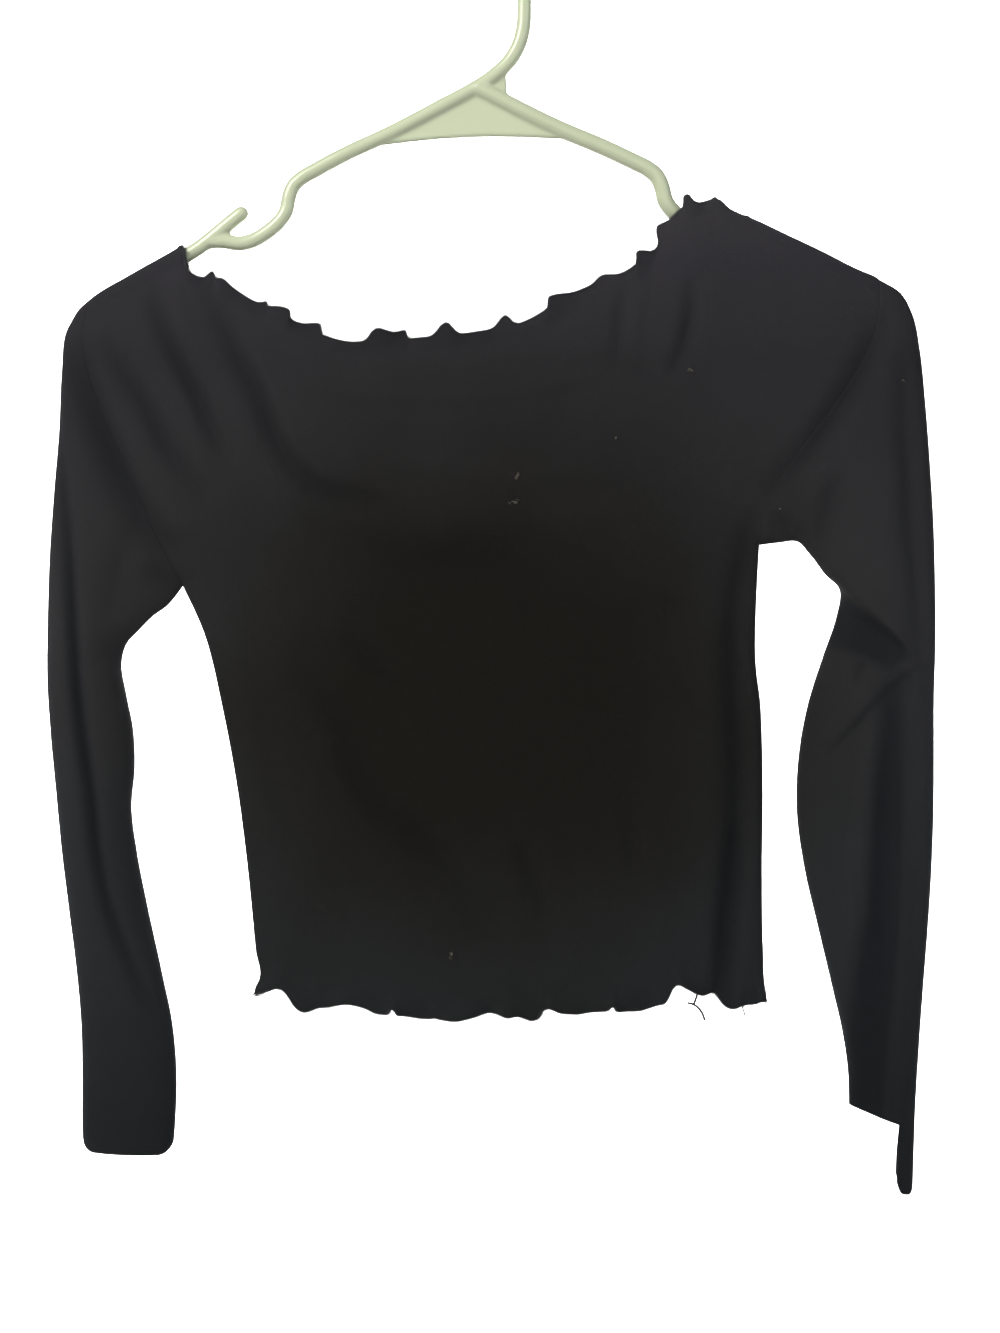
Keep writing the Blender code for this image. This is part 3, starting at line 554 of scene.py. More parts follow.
BACK_NECK_WAVES = rows_of(
    Wave,
    (-144.0, 3.2, 3.0, 3.4, 2.4), (-129.0, 3.0, 4.0, 5.0, -2.4), (-111.0, 4.2, 4.0, 6.0, 2.8),
    (-92.0, 3.0, 6.0, 3.0, -2.6), (-72.0, 4.6, 4.0, 5.0, 3.0), (-50.0, 3.2, 5.0, 6.0, -2.8),
    (-31.0, 4.0, 3.0, 4.0, 2.6), (-8.0, 4.8, 6.0, 4.0, -3.0), (13.0, 3.4, 4.0, 5.0, 2.8),
    (34.0, 4.4, 5.0, 3.0, -2.6), (52.0, 3.0, 3.0, 6.0, 3.0), (73.0, 4.0, 5.0, 4.0, -2.8),
    (91.0, 3.4, 4.0, 3.0, 2.6), (107.0, 3.0, 3.0, 3.0, -2.0),
)

BACK_HEM_WAVES = rows_of(
    Wave,
    (-101.0, 0.8, 4.0, 5.0, 2.6), (-83.0, -1.2, 4.0, 3.0, -2.6), (-67.0, 1.0, 5.0, 5.0, 2.8),
    (-46.0, -1.6, 3.0, 4.0, -3.0), (-29.0, 1.2, 5.0, 4.0, 2.6), (-11.0, -1.0, 3.0, 3.0, -2.6),
    (7.0, 1.0, 5.0, 6.0, 3.0), (27.0, -1.8, 3.0, 4.0, -2.8), (46.0, 1.2, 5.0, 4.0, 2.6),
    (64.0, -1.2, 3.0, 3.0, -2.6), (81.0, 1.0, 4.0, 5.0, 2.8), (100.0, -1.6, 4.0, 3.0, -3.0),
    (118.0, 1.2, 4.0, 4.0, 2.6), (136.0, -1.0, 3.0, 3.0, -2.4), (149.0, 0.8, 3.0, 3.0, 2.2),
)

LEFT_SLEEVE = rows_of(
    SleeveSection,
    (-212.3, -224, -159, -368.5, 11.0, 0.0, 0.65), (-214.8, -246, -167, -374.5, 11.5, 0.0, 0.40),
    (-216, -273, -174.5, -382, 12.0, 0.0, 0.20), (-218.6, -306, -181.5, -390, 12.5, 0.0, 0.08),
    (-221, -340, -184, -401, 13.0, 0.0), (-222, -377, -181.2, -417, 13.0, -1.0),
    (-222, -410, -177.4, -436, 13.0, -2.0), (-220, -438, -176.5, -455, 13.0, -3.0),
    (-217, -468, -178, -476, 13.0, -4.0), (-214, -498, -175, -500, 13.0, -4.5),
    (-210, -530, -169, -530, 13.0, -5.0), (-206, -562, -162, -562, 12.5, -5.0),
    (-203.5, -592, -156, -592, 12.0, -5.0), (-203, -622, -154, -622, 11.5, -5.0),
    (-203, -643.4, -155, -646, 11.0, -5.0), (-202.5, -656.4, -156, -658.2, 10.5, -5.0),
)

RIGHT_SLEEVE = rows_of(
    SleeveSection,
    (228.8, -203.6, 159, -336.3, 11.2, 0.0, 0.86), (235.2, -215, 165, -335.6, 11.5, 0.0, 0.72),
    (239, -233, 173.5, -334.8, 12.0, 0.0, 0.48), (242.2, -264, 181.5, -342, 12.5, 0.0, 0.22),
    (244.7, -298, 189.5, -352.5, 13.0, 0.0, 0.10), (246.5, -330, 197.5, -361.5, 13.0, 0.0),
    (247, -358, 195, -377, 13.0, -1.0), (247, -388, 188, -397, 13.0, -2.0),
    (246, -418, 180, -422, 13.0, -3.0), (245.8, -448, 175, -449, 13.0, -4.0),
    (245.5, -478, 174, -478, 13.0, -4.5), (244.3, -508, 178, -508, 13.0, -5.0),
    (242.3, -540, 185.4, -540, 12.5, -5.0), (239.8, -572, 193, -572, 12.0, -5.0),
    (237.6, -600, 198.4, -596, 11.5, -5.0, 0.00, 3),
    (235.6, -624, 201, -615, 11.0, -5.0, 0.00, 14),
    (234.4, -645, 201.6, -632.5, 10.5, -5.0, 0.00, 35),
)

# In both layers' creases, shade paints shade into the cloth's colour along each trough and light along each ridge; on
# the front the largest shades paint the shadow under the right elbow flap and the dark right forearm and cuff.
FRONT_CREASES = (
    Crease("left underarm wedge", 8.4, 6.0, (
        (-206, -228), (-200, -250), (-193, -271), (-184, -293), (-174, -314), (-163, -331),
        (-147, -342)), far_width=9.5),
    Crease("left armhole drag", 5.6, 5.6, (
        (-192, -228), (-180, -247), (-168, -266), (-157, -287), (-144, -304), (-134, -313))),
    Crease("left shoulder drag", 6.2, 5.4, (
        (-167, -200), (-161, -221), (-152, -240), (-143, -257), (-135, -275), (-126, -296))),
    Crease("neck corner drape", 5.8, 5.2, (
        (-138, -203), (-127, -223), (-118, -242), (-110, -257), (-99, -284), (-89, -298),
        (-75, -308), (-58, -313), (-34, -316)), far_width=6.6),
    Crease("underarm pit", 3.5, 6.5, ((-170, -350), (-160, -355), (-148, -363))),
    Crease("left inner sleeve drag", 1.9, 6.5, ((-172, -320), (-182, -345), (-187, -376))),
    Crease("chest roll", -3.4, 10.0, (
        (-96, -270), (-50, -291), (-8, -299), (40, -301), (84, -296))),
    Crease("below the chest roll", 3.2, 13.0, (
        (-92, -318), (-62, -332), (-34, -342), (2, -345), (44, -340), (84, -334))),
    Crease("furrow under the neckline", 1.5, 3.2, (
        (-88, -229), (-66, -236), (-36, -234), (-9, -233), (17, -230), (40, -225), (60, -212))),
    Crease("roll under the neckline", -1.2, 3.4, (
        (-60, -243), (-28, -243), (-6, -243), (16, -240))),
    Crease("second furrow", 1.1, 4.4, (
        (-92, -256), (-66, -264), (-36, -266), (6, -265), (48, -260), (76, -250))),
    Crease("third furrow", 0.6, 4.4, ((-40, -252), (-8, -255), (22, -252), (46, -244))),
    Crease("armhole seam at the right", 5.5, 6.5, (
        (222, -212), (210, -240), (202, -256), (192, -270), (182, -285), (172, -297), (157, -314)),
        far_width=7.5),
    Crease("right underarm wrinkle", 3.1, 5.9, ((194, -300), (190, -320), (182, -342))),
    Crease("right underarm nick", 2.4, 3.0, ((163, -322), (170, -329), (177, -337))),
    Crease("right neck drag", 3.4, 4.6, ((117, -196), (117, -216), (114, -232), (106, -252))),
    Crease("right neck drag end", 1.6, 4.2, ((87, -242), (92, -250), (99, -259))),
    Crease("right chest trough", 2.2, 4.4, ((83, -196), (80, -223), (77, -248))),
    Crease("right chest raised strip", -2.0, 5.0, ((93, -200), (88, -221), (88, -240))),
    Crease("right side roll", 7.0, 6.5, (
        (149, -318), (145, -345), (141, -372), (140, -400), (142, -440), (142, -480), (140, -520),
        (137, -556), (135, -590)), far_width=6.5),
    Crease("right side roll lower", 3.1, 7.8, (
        (140, -480), (135, -530), (130, -596)), far_width=4.5, shade=2.4),
    Crease("beside the right side roll", -0.9, 3.9, ((128, -540), (127, -562), (127, -584))),
    Crease("left waist drag", 3.0, 9.0, (
        (-94, -408), (-78, -421), (-66, -436), (-60, -456), (-50, -476), (-32, -488), (-14, -507),
        (2, -532), (6, -548)), far_width=6.0),
    Crease("left waist ridge", -1.7, 6.5, ((-80, -440), (-66, -466), (-46, -492), (-28, -508))),
    Crease("left waist side drag", 1.7, 5.2, ((-64, -380), (-50, -402), (-34, -419))),
    Crease("middle waist drag", 1.9, 4.7, ((27, -490), (32, -512), (40, -536))),
    Crease("right waist drag", 1.4, 4.9, ((79, -462), (85, -488), (88, -514))),
    Crease("left side drag", 1.2, 5.9, ((-118, -352), (-115, -390), (-108, -432), (-98, -508))),
    Crease("left sleeve crease", 6.6, 3.6, (
        (-216, -268), (-212, -308), (-209, -340), (-207, -372), (-204, -415), (-200, -446),
        (-196, -473), (-193, -500), (-188, -524), (-181, -545), (-173, -564), (-162, -588)),
        far_width=4.6, shade=1.5),
    Crease("left elbow wrinkle", 1.2, 5.9, ((-178, -386), (-190, -396), (-202, -402))),
    Crease("left cuff wrinkle", 0.9, 5.2, ((-196, -640), (-184, -632), (-172, -634))),
    Crease("right sleeve outer crease", 5.5, 6.0, (
        (231, -234), (230, -271), (232, -300), (233, -325), (235, -346), (237, -374), (236, -404)),
        shade=0.5),
    Crease("right elbow flap", -4.5, 9.0, (
        (186, -350), (198, -359), (212, -371), (222, -381.5), (235, -396)), far_width=1.8, lap=1.6,
        shade=0.0),
    Crease("shadow under the elbow flap", 5.5, 3.6, (
        (172, -360), (190, -366.5), (199, -371), (210, -379), (220, -387), (232, -399)),
        far_width=9.0, shade=4.0),
    Crease("elbow hollow", 3.0, 7.5, (
        (170, -382), (190, -384), (203, -386), (214, -391), (226, -399)), shade=5.0),
    Crease("right elbow lit fold", -5.0, 2.4, (
        (238, -398), (224, -406), (215, -413.5), (207, -423), (198, -433), (184, -447)),
        far_width=8.0, lap=0.8, shade=0.0),
    Crease("right elbow nick", 1.6, 2.4, ((209, -398), (206, -404), (204, -411)), shade=2.0),
    Crease("right forearm ridge", -3.6, 11.0, (
        (225, -413), (215, -421), (211.5, -440), (207, -472), (202.5, -504), (200, -546),
        (199, -578), (202, -612)), far_width=4.5),
    Crease("right forearm hollow", 4.6, 6.5, (
        (229, -402), (224, -414), (222.5, -440), (221, -472), (220, -504), (218, -546),
        (215, -578), (211, -618), (207, -660)), far_width=9.5, shade=4.4),
    Crease("right cuff shade", 1.2, 9.0, (
        (204, -530), (206, -580), (208, -640), (208, -676)), shade=7.0),
    Crease("right forearm outer roll", -2.0, 3.4, (
        (241, -416), (241, -500), (237.5, -556), (234, -612))),
)

BACK_CREASES = (
    Crease("left underarm wedge", 5.0, 8.0, ((-200, -246), (-174, -298), (-144, -346))),
    Crease("left shoulder drag", 4.0, 7.0, ((-172, -206), (-150, -262), (-118, -310))),
    Crease("back neck drape", 3.5, 9.0, (
        (-110, -222), (-84, -262), (-30, -284), (30, -282), (84, -248))),
    Crease("furrow under the back neckline", 1.4, 3.4, (
        (-80, -236), (-30, -246), (30, -242), (66, -222))),
    Crease("right armhole drag", 4.5, 7.0, ((214, -232), (190, -270), (152, -322))),
    Crease("right shoulder drag", 3.5, 7.0, ((150, -186), (146, -240), (122, -292))),
    Crease("waist drag", 4.0, 9.0, ((118, -380), (84, -430), (70, -490), (36, -540))),
    Crease("left side roll", 4.0, 8.0, ((-136, -372), (-112, -440), (-104, -520), (-100, -584))),
    Crease("lower back drag", 2.5, 7.0, ((-60, -452), (-34, -500), (-20, -556))),
    Crease("middle back drag", 1.6, 6.0, ((10, -360), (30, -400), (26, -446))),
    Crease("left sleeve crease", 3.0, 6.0, (
        (-206, -258), (-204, -340), (-200, -420), (-190, -500), (-180, -580))),
    Crease("right elbow trough", 4.0, 7.0, ((186, -366), (214, -384), (244, -400))),
    Crease("right forearm crease", 3.0, 6.5, ((226, -420), (222, -480), (214, -540), (214, -600))),
)

FRONT = Layer("front", -1, 1.0, 0.0, FRONT_CREASES, FRONT_NECK_WAVES, FRONT_HEM_WAVES)
BACK = Layer("back", 1, 0.85, 4.0, BACK_CREASES, BACK_NECK_WAVES, BACK_HEM_WAVES)


@dataclass
class ClothForm:
    """The middle surface of the whole top, as it hangs over the hanger."""

    lines: HangerLines
    panel_height: float = 375.0
    underarm_share: float = 0.58
    armhole_half_depth: float = 11.0
    hem_half_depth: float = 14.0
    neck_half_depth: float = 9.5
    chest_fullness: float = 12.5
    edge_blend: float = 0.35
    rest_reach: float = 5.2
    search_block: int = 64
    facet_allowance: float = 0.2
    blend_power: int = 6
    crease_give: float = 4.0
    crease_pitch: float = 1.5
    crease_reach: float = 2.6
    crease_fade: float = 0.6
    valley_depth: float = 9.0
    wave_reach: float = 13.0
    wave_fade: float = 1.5
    wave_power: float = 2.3
    wave_tip_fade: float = 5.0
    swing_share: float = 0.9
    swing_extra: float = 2.6
    corner_x: tuple[float, float] = (-200.0, 218.0)
    neck_tip_x: tuple[float, float] = (-153.0, 131.0)
    neck_shares: tuple[float, float] = (0.15, 0.76)
    tail_shares: tuple[float, float] = (0.78, 0.86)
    undulation: float = 0.45
    slow_sway: tuple[Ripple, Ripple] = (Ripple(17.0, 41.0), Ripple(-63.0, 29.0, 1.3))
    quick_sway: tuple[Ripple, Ripple] = (Ripple(8.3, -13.0), Ripple(23.0, 19.0, 0.7))
    quick_share: float = 0.45
    back_turn: float = 2.4
    tip_blur: float = 0.028
    tip_reach: float = 0.09
    tip_from: float = 0.90
    tip_steps: int = 2000
    arch_top: float = -135.0
    arch_round: float = 7.0
    arch_from: tuple[float, float] = (-172.0, 150.0)
    hem_level: float = -583.0
    level_from: tuple[float, float] = (0.12, 0.18)
    armhole_ease: float = 0.25
    armhole_span: float = 0.1
    neck_flare: float = 0.15
    neck_close: float = 0.72
    neck_power: int = 6
    neck_gain: float = 6.0
    hem_rise: float = 1.9
    neck_fall: float = 0.6
    cuff_reach: float = 7.0
    cuff_corner: float = 0.15
    back_tail_lag: float = 0.07
    tail_round: float = 5.0
    tail_lean: float = 4.2
    tail_power: int = 4
    ring_end: float = 1.2
    curve_step: float = 0.004
    curve_samples: int = 2000
    neck_hold: float = 16.0
    shoulder_lifts: tuple[tuple[float, float], ...] = (
        (-200.0, 0.0), (-153.0, 0.0), (131.0, -0.7), (143.0, 0.9), (160.0, 1.8), (190.0, 2.5),
        (206.0, 2.6), (218.0, 6.0),
    )
    tube_points: Array = field(init=False, repr=False)
    arch: tuple[Array, Array] = field(init=False, repr=False)
    shoulder_lift: Curve = field(init=False, repr=False)
    left_edge: Curve = field(init=False, repr=False)
    right_edge: Curve = field(init=False, repr=False)
    hem_height: Curve = field(init=False, repr=False)
    neckline: Curve = field(init=False, repr=False)
    neckline_length: float = field(init=False)

    def __post_init__(self) -> None:
        """Lay the panel's outlines over the hanger."""
        self.tube_points = self.lines.all_points()
        shares = [s.share for s in SIDES] + [1.0]
        keys = [place for place, _ in self.shoulder_lifts]
        self.shoulder_lift = smooth(keys, [(lift,) for _, lift in self.shoulder_lifts])
        self.arch = self.build_arch()
        corners = [(x, self.over_arm(x)) for x in self.corner_x]
        tips = [(x, self.over_arm(x)) for x in self.neck_tip_x]
        self.left_edge = smooth(shares, [(s.left_x, s.left_z) for s in SIDES] + [corners[0]])
        self.right_edge = smooth(shares, [(s.right_x, s.right_z) for s in SIDES] + [corners[1]])
        self.hem_height = smooth([h.share for h in HEM_LINE], [(h.z,) for h in HEM_LINE])
        self.neckline, self.neckline_length = trace([tips[0], *pairs(NECKLINE), tips[1]])

    def over_arm(self, x: float) -> float:
        """Rest the cloth on the tubes.

        Args:
            x: a place across.

        Returns:
            The height of the middle of the cloth there.
        """
        gap = self.tube_points[:, 0] - x
        near = np.abs(gap) < self.rest_reach
        rise = np.sqrt(self.rest_reach ** 2 - gap[near] ** 2)
        lift = float(self.shoulder_lift(np.array([x]))[0, 0])
        return float(np.max(self.tube_points[near, 1] + rise)) + lift

    def tube_need(self, x: Array, z: Array) -> tuple[Array, Array]:
        """Find how deep the cloth must be to clear the tubes.

        Args:
            x: places across.
            z: heights.

        Returns:
            Half the depth that each place needs, and the nearest point of a tube's line.
        """
        best = np.full(x.shape, np.inf)
        nearest = np.zeros(x.shape, dtype=int)
        for start in range(0, len(self.tube_points), self.search_block):
            block = self.tube_points[start:start + self.search_block]
            gaps = np.hypot(block[:, 0] - x[:, None], block[:, 1] - z[:, None])
            found = np.argmin(gaps, axis=1)
            least = gaps[np.arange(len(x)), found]
            closer = least < best
            best[closer] = least[closer]
            nearest[closer] = found[closer] + start
        need = np.sqrt(np.maximum(0.0, self.rest_reach ** 2 - best ** 2))
        return need, self.tube_points[nearest]

    def creased(self, layer: Layer, x: Array, z: Array) -> tuple[Array, Array, Array]:
        """Add up the layer's creases.

        Args:
            layer: the layer whose creases count.
            x: places across.
            z: heights.

        Returns:
            Depth of the troughs less the height of the ridges, how deep in a valley each place
            lies from -1 to 1, which sets the painted shade in troughs and painted light on ridges,
            and its shift in x and z where a crest laps over.
        """
        total, valley = np.zeros_like(x), np.zeros_like(x)
        shift = np.zeros((len(x), 2))
        for crease in layer.creases:
            path = sampled(crease.path, self.crease_pitch)
            reach = self.crease_reach * max(crease.width, crease.far_width)
            low, high = path.min(axis=0) - reach, path.max(axis=0) + reach
            near = (x > low[0]) & (x < high[0]) & (z > low[1]) & (z < high[1])
            if not near.any():
                continue
            away_x = x[near, None] - path[:, 0]
            away_z = z[near, None] - path[:, 1]
            i = np.argmin(np.hypot(away_x, away_z), axis=1)
            run = np.gradient(path, axis=0)
            run /= np.linalg.norm(run, axis=1)[:, None]
            every = np.arange(len(i))
            dx, dz = away_x[every, i], away_z[every, i]
            along = dx * run[i, 0] + dz * run[i, 1]
            side = dx * run[i, 1] - dz * run[i, 0]
            place = np.clip((i + along / self.crease_pitch) / (len(path) - 1), 0.0, 1.0)
            beyond = np.where((i == 0) | (i == len(path) - 1), along, 0.0)
            width = np.where(side > 0.0, crease.far_width or crease.width, crease.width)
            fall = np.exp(-(side / width) ** 2 - (beyond / crease.width) ** 2)
            fall *= np.sin(np.pi * place) ** self.crease_fade
            total[near] += crease.depth * fall
            # Painted shade and painted light: valley darkens the colour in troughs and lightens it on ridges.
            valley[near] += crease.depth * crease.shade / self.valley_depth * fall
            shift[near, 0] += crease.lap * fall * run[i, 1]
            shift[near, 1] -= crease.lap * fall * run[i, 0]
        return total, np.clip(valley, -1.0, 1.0), shift

    def placed(self, layer: Layer, flat: Array, square_depth: Array,
               middle_y: Array) -> tuple[Array, Array]:
        """Give points of a flat layer their depth.

        Args:
            layer: the layer that the points lie in.
            flat: rows of x and z.
            square_depth: square of the plain half depth at each point, 0 on a closed edge.
            middle_y: the layer's middle plane at each point.

        Returns:
            Points of the middle surface, and how deep in a valley each one lies.
        """
        x, z = flat[:, 0].copy(), flat[:, 1].copy()
        need, tube = self.tube_need(x, z)
        closed = square_depth < TINY
        moved = closed & (need > 0.0)
        away = flat[moved] - tube[moved]
        reach = self.rest_reach / np.linalg.norm(away, axis=1)
        x[moved] = tube[moved, 0] + away[:, 0] * reach
        z[moved] = tube[moved, 1] + away[:, 1] * reach
        depth = np.sqrt(np.maximum(square_depth, 0.0))
        folds, valley, shift = self.creased(layer, x, z)
        give = depth / (depth + self.crease_give)
        depth = depth - (folds + self.sway(layer, x, z)) * give
        x, z = x + shift[:, 0] * give, z + shift[:, 1] * give
        points = np.column_stack((x, middle_y + layer.facing * depth, z))
        points[closed, 1] = middle_y[closed]
        self.hold_open(layer, points, need, ~closed)
        return points, valley * give

    def hold_open(self, layer: Layer, points: Array, need: Array, which: Array) -> None:
        """Move points out until they clear the tubes.

        Args:
            layer: the layer that the points lie in.
            points: the points, which are moved in place.
            need: half the depth that each point needs.
            which: the points that may move.
        """
        held = which & (need > 0.0)
        depth = np.maximum(points[held, 1] * layer.facing, 0.0)
        least = need[held] + self.facet_allowance
        power = self.blend_power
        blended = (depth ** power + least ** power) ** (1.0 / power)
        points[held, 1] = layer.facing * blended

    def sway(self, layer: Layer, x: Array, z: Array) -> Array:
        """Give soft hanging cloth its slow unevenness.

        Args:
            layer: the front or the back.
            x: places across.
            z: heights.

        Returns:
            How far each place sways.
        """
        turn = 0.0 if layer.facing < 0 else self.back_turn
        slow = self.slow_sway[0].at(x, z, turn) * self.slow_sway[1].at(x, z)
        quick = self.quick_sway[0].at(x, z, 2.0 * turn) * self.quick_sway[1].at(x, z)
        return self.undulation * (slow + self.quick_share * quick)

    def neck_share(self, u: Array) -> Array:
        """Return the share of the neckline at each column, outside 0 to 1 on the shoulders."""
        start, end = self.neck_shares
        return (u - start) / (end - start)

    def top_edge(self, layer: Layer, u: Array) -> Array:
        """Draw a panel's top edge: shoulder seam, neckline, shoulder seam.

        Args:
            layer: the front or the back.
            u: columns, from left to right.

        Returns:
            Rows of x and z.
        """
        share = self.neck_share(u)
        inside = (share > -TINY) & (share < 1.0 + TINY)
        edge = np.zeros((len(u), 2))
        edge[inside] = self.neckline(np.clip(share[inside], 0.0, 1.0))
        drop = np.sin(np.pi * np.clip(share[inside], 0.0, 1.0))
        fall = layer.neck_drop + self.neck_fall
        edge[inside, 1] -= fall * np.sqrt(np.maximum(drop, 0.0))
        ends = ((self.corner_x[0], self.neck_tip_x[0], 0.0, self.neck_shares[0]),
                (self.corner_x[1], self.neck_tip_x[1], 1.0, self.neck_shares[1]))
        for i in np.flatnonzero(~inside):
            corner, tip, start, end = ends[0] if u[i] < self.neck_shares[0] else ends[1]
            x = corner + (tip - corner) * (u[i] - start) / (end - start)
            edge[i] = (x, self.over_arm(x))
        return edge

    def eased_top(self, layer: Layer, u: Array) -> Array:
        """Draw the top edge with its two neck tips smoothed, for the rows well below it.

        Args:
            layer: the front or the back.
            u: columns, from left to right.

        Returns:
            Rows of x and z.
        """
        steps = self.tip_steps
        fine = np.linspace(0.0, 1.0, steps + 1)
        line = self.top_edge(layer, fine)
        blur = self.tip_blur * steps
        reach = round(3.0 * blur)
        weight = np.exp(-(np.arange(-reach, reach + 1) / blur) ** 2 / 2.0)
        padded = np.vstack((2.0 * line[0] - line[reach:0:-1], line,
                            2.0 * line[-1] - line[-2:-reach - 2:-1]))
        soft = np.column_stack([np.convolve(column, weight / weight.sum(), "valid")
                                for column in padded.T])
        near = sum(np.exp(-((fine - tip) / self.tip_reach) ** 2) for tip in self.neck_shares)
        mixed = line + np.minimum(near, 1.0)[:, None] * (soft - line)
        return np.column_stack([np.interp(u, fine, column) for column in mixed.T])

    def hem_edge(self, u: Array) -> Array:
        """Draw a panel's hem.

        Args:
            u: columns, from left to right.

        Returns:
            Rows of x and z.
        """
        start, end = SIDES[0].left_x, SIDES[0].right_x
        rise = self.hem_rise * np.sqrt(np.clip(4.0 * u * (1.0 - u), 0.0, 1.0))
        return np.column_stack((start + (end - start) * u, self.hem_height(u)[:, 0] + rise))

    def build_arch(self) -> tuple[Array, Array]:
        """Run the shoulder lines on across the neck.

        Returns:
            Places across, and the height of the lines at each.
        """
        x = np.arange(self.corner_x[0], self.corner_x[1] + 1.0)
        lifted = np.array([self.over_arm(place) for place in x])
        lines = [np.full(x.shape, self.arch_top)]
        for tip, outer in zip(self.neck_tip_x, self.arch_from):
            ends = np.interp((tip, outer), x, lifted)
            lines.append(ends[0] + (x - tip) * (ends[1] - ends[0]) / (outer - tip))
        least = np.min(lines, axis=0)
        spread = np.exp((least - np.array(lines)) / self.arch_round).sum(axis=0)
        across = (x > self.neck_tip_x[0]) & (x < self.neck_tip_x[1])
        return x, np.where(across, least - self.arch_round * np.log(spread), lifted)

    def square_depth(self, layer: Layer, u: Array, v: Array, flat: Array) -> Array:
        """Give a body panel's plain half depth.

        Args:
            layer: the front or the back.
            u: columns, from left to right.
            v: rows, from hem to top.
            flat: the places' x and z.

        Returns:
            The square of the half depth, 0 where front and back meet.
        """

        def open_part(share: Array, blend: Array) -> Array:
            """Rise as share times (1 - share) does, with soft ends where blend is above 0."""
            spread = share * (1.0 - share)
            return (spread + np.sqrt(spread ** 2 + blend ** 2)) / 2.0

        along = self.neck_share(u)
        x, z = flat.T
        level = (z - self.hem_level) / (np.interp(x, *self.arch) - self.hem_level)
        inland = ease(u / self.level_from[0]) * ease((1.0 - u) / self.level_from[1])
        height = np.clip(v + inland * (level - v), 0.0, 1.0)
        start, end = self.left_edge(height)[:, 0], self.right_edge(height)[:, 0]
        across = np.clip((x - start) / (end - start), 0.0, 1.0)
        left, right = self.neck_tip_x
        share = (x - left) / (right - left)
        middle = 4.0 * across * (1.0 - across)
        low = self.armhole_ease * ease((height - self.underarm_share) / self.armhole_span)
        inner = (1.0 + low) * middle ** 2 / (middle + low + TINY)
        neck = 4.0 * self.neck_half_depth ** 2 * open_part(share, self.edge_blend * (1.0 - height))
        hem = self.hem_half_depth ** 2 * inner
        chest = self.chest_fullness ** 2 * inner * 4.0 * height * (1.0 - height)
        shown = np.minimum(1.0, self.neck_gain * inner)
        own = (1.0 - height) * hem + height * neck * shown + chest
        span = 1.0 - self.underarm_share
        blend = self.edge_blend * middle * np.clip((1.0 - height) / span, 0.0, 1.0)
        rise = open_part((height - self.underarm_share) / span, blend)
        total = own * layer.fullness ** 2 + 4.0 * self.armhole_half_depth ** 2 * rise
        reach = self.neck_flare
        inside = ease(along / reach) * ease((1.0 - along) / reach)
        total *= 1.0 - self.neck_close * inside * v ** self.neck_power
        shoulder = (along < TINY) | (along > 1.0 - TINY)
        side = (u < TINY) | (u > 1.0 - TINY)
        total[(v > 1.0 - TINY) & shoulder] = 0.0
        total[(v <= self.underarm_share + TINY) & side] = 0.0
        return total

    def wave_shares(self, waves: tuple[Wave, ...], neck: bool) -> list[float]:
        """Return where each wave stands along its edge, as a share of the edge's length.

        Args:
            waves: the waves.
            neck: whether they are the neckline's, and not the hem's.

        Returns:
            One share for each wave.
        """
        if not neck:
            start, end = SIDES[0].left_x, SIDES[0].right_x
            return [(wave.x - start) / (end - start) for wave in waves]
        shares = np.linspace(0.0, 1.0, self.curve_samples)
        line_x = self.neckline(shares)[:, 0]
        return [float(shares[np.argmin(np.abs(line_x - wave.x))]) for wave in waves]

    def curl(self, points: Array, waves: tuple[Wave, ...], share: Array,
             length: float, outward: Array, from_edge: Array) -> None:
        """Lay a lettuce edge's waves into the points near it.

        Args:
            points: the points, which are moved in place.
            waves: the waves of that edge.
            share: share of the edge at each point.
            length: length of the edge.
            outward: rows of x and z that point out of the edge.
            from_edge: distance of each point from the edge.
        """
        fade = ease(1.0 - from_edge / self.wave_reach) ** self.wave_fade
        tips = ease(np.minimum(share, 1.0 - share) * length / self.wave_tip_fade)
        neck = length == self.neckline_length
        for wave, place in zip(waves, self.wave_shares(waves, neck)):
            off = (share - place) * length
            reach = np.where(off < 0.0, wave.reach_before, wave.reach_after)
            lift = wave.lift * np.exp(-np.abs(off / reach) ** self.wave_power)
            wide = self.swing_share * reach + self.swing_extra
            swing = wave.swing * np.exp(-(off / wide) ** 2)
            points[:, 0] += outward[:, 0] * lift * fade * tips
            points[:, 2] += outward[:, 1] * lift * fade * tips
            points[:, 1] += swing * fade * tips

    def body_points(self, layer: Layer, columns: Array, rows: Array) -> tuple[Array, Array]:
        """Shape a body panel.

        Args:
            layer: the front or the back.
            columns: shares from the left side to the right one.
            rows: shares from the hem to the top.

        Returns:
            Points, as rows by columns by 3, and how deep in a valley each one lies.
        """
        hem, edge = self.hem_edge(columns), self.top_edge(layer, columns)
        below = 1.0 - ease((rows - self.tip_from) / (1.0 - self.tip_from))[:, None, None]
        top = edge + below * (self.eased_top(layer, columns) - edge)
        left, right = self.left_edge(rows), self.right_edge(rows)
        u, v = columns[None, :, None], rows[:, None, None]
        flat = (
            (1.0 - v) * hem[None] + v * top
            + (1.0 - u) * left[:, None] + u * right[:, None]
            - (1.0 - u) * ((1.0 - v) * hem[0] + v * edge[0])
            - u * ((1.0 - v) * hem[-1] + v * edge[-1])
        ).reshape(-1, 2)
        us = np.broadcast_to(columns, (len(rows), len(columns))).reshape(-1)
        vs = np.repeat(rows, len(columns))
        square = self.square_depth(layer, us, vs, flat)
        points, valley = self.placed(layer, flat, square, np.zeros(len(us)))
        down = np.tile((0.0, -1.0), (len(us), 1))
        hem_length = SIDES[0].right_x - SIDES[0].left_x
        self.curl(points, layer.hem_waves, us, hem_length, down, vs * self.panel_height)
        share = np.clip(self.neck_share(us), 0.0, 1.0)
        run = self.neckline(share + self.curve_step) - self.neckline(share - self.curve_step)
        run /= np.linalg.norm(run, axis=1)[:, None]
        outward = np.column_stack((-run[:, 1], run[:, 0]))
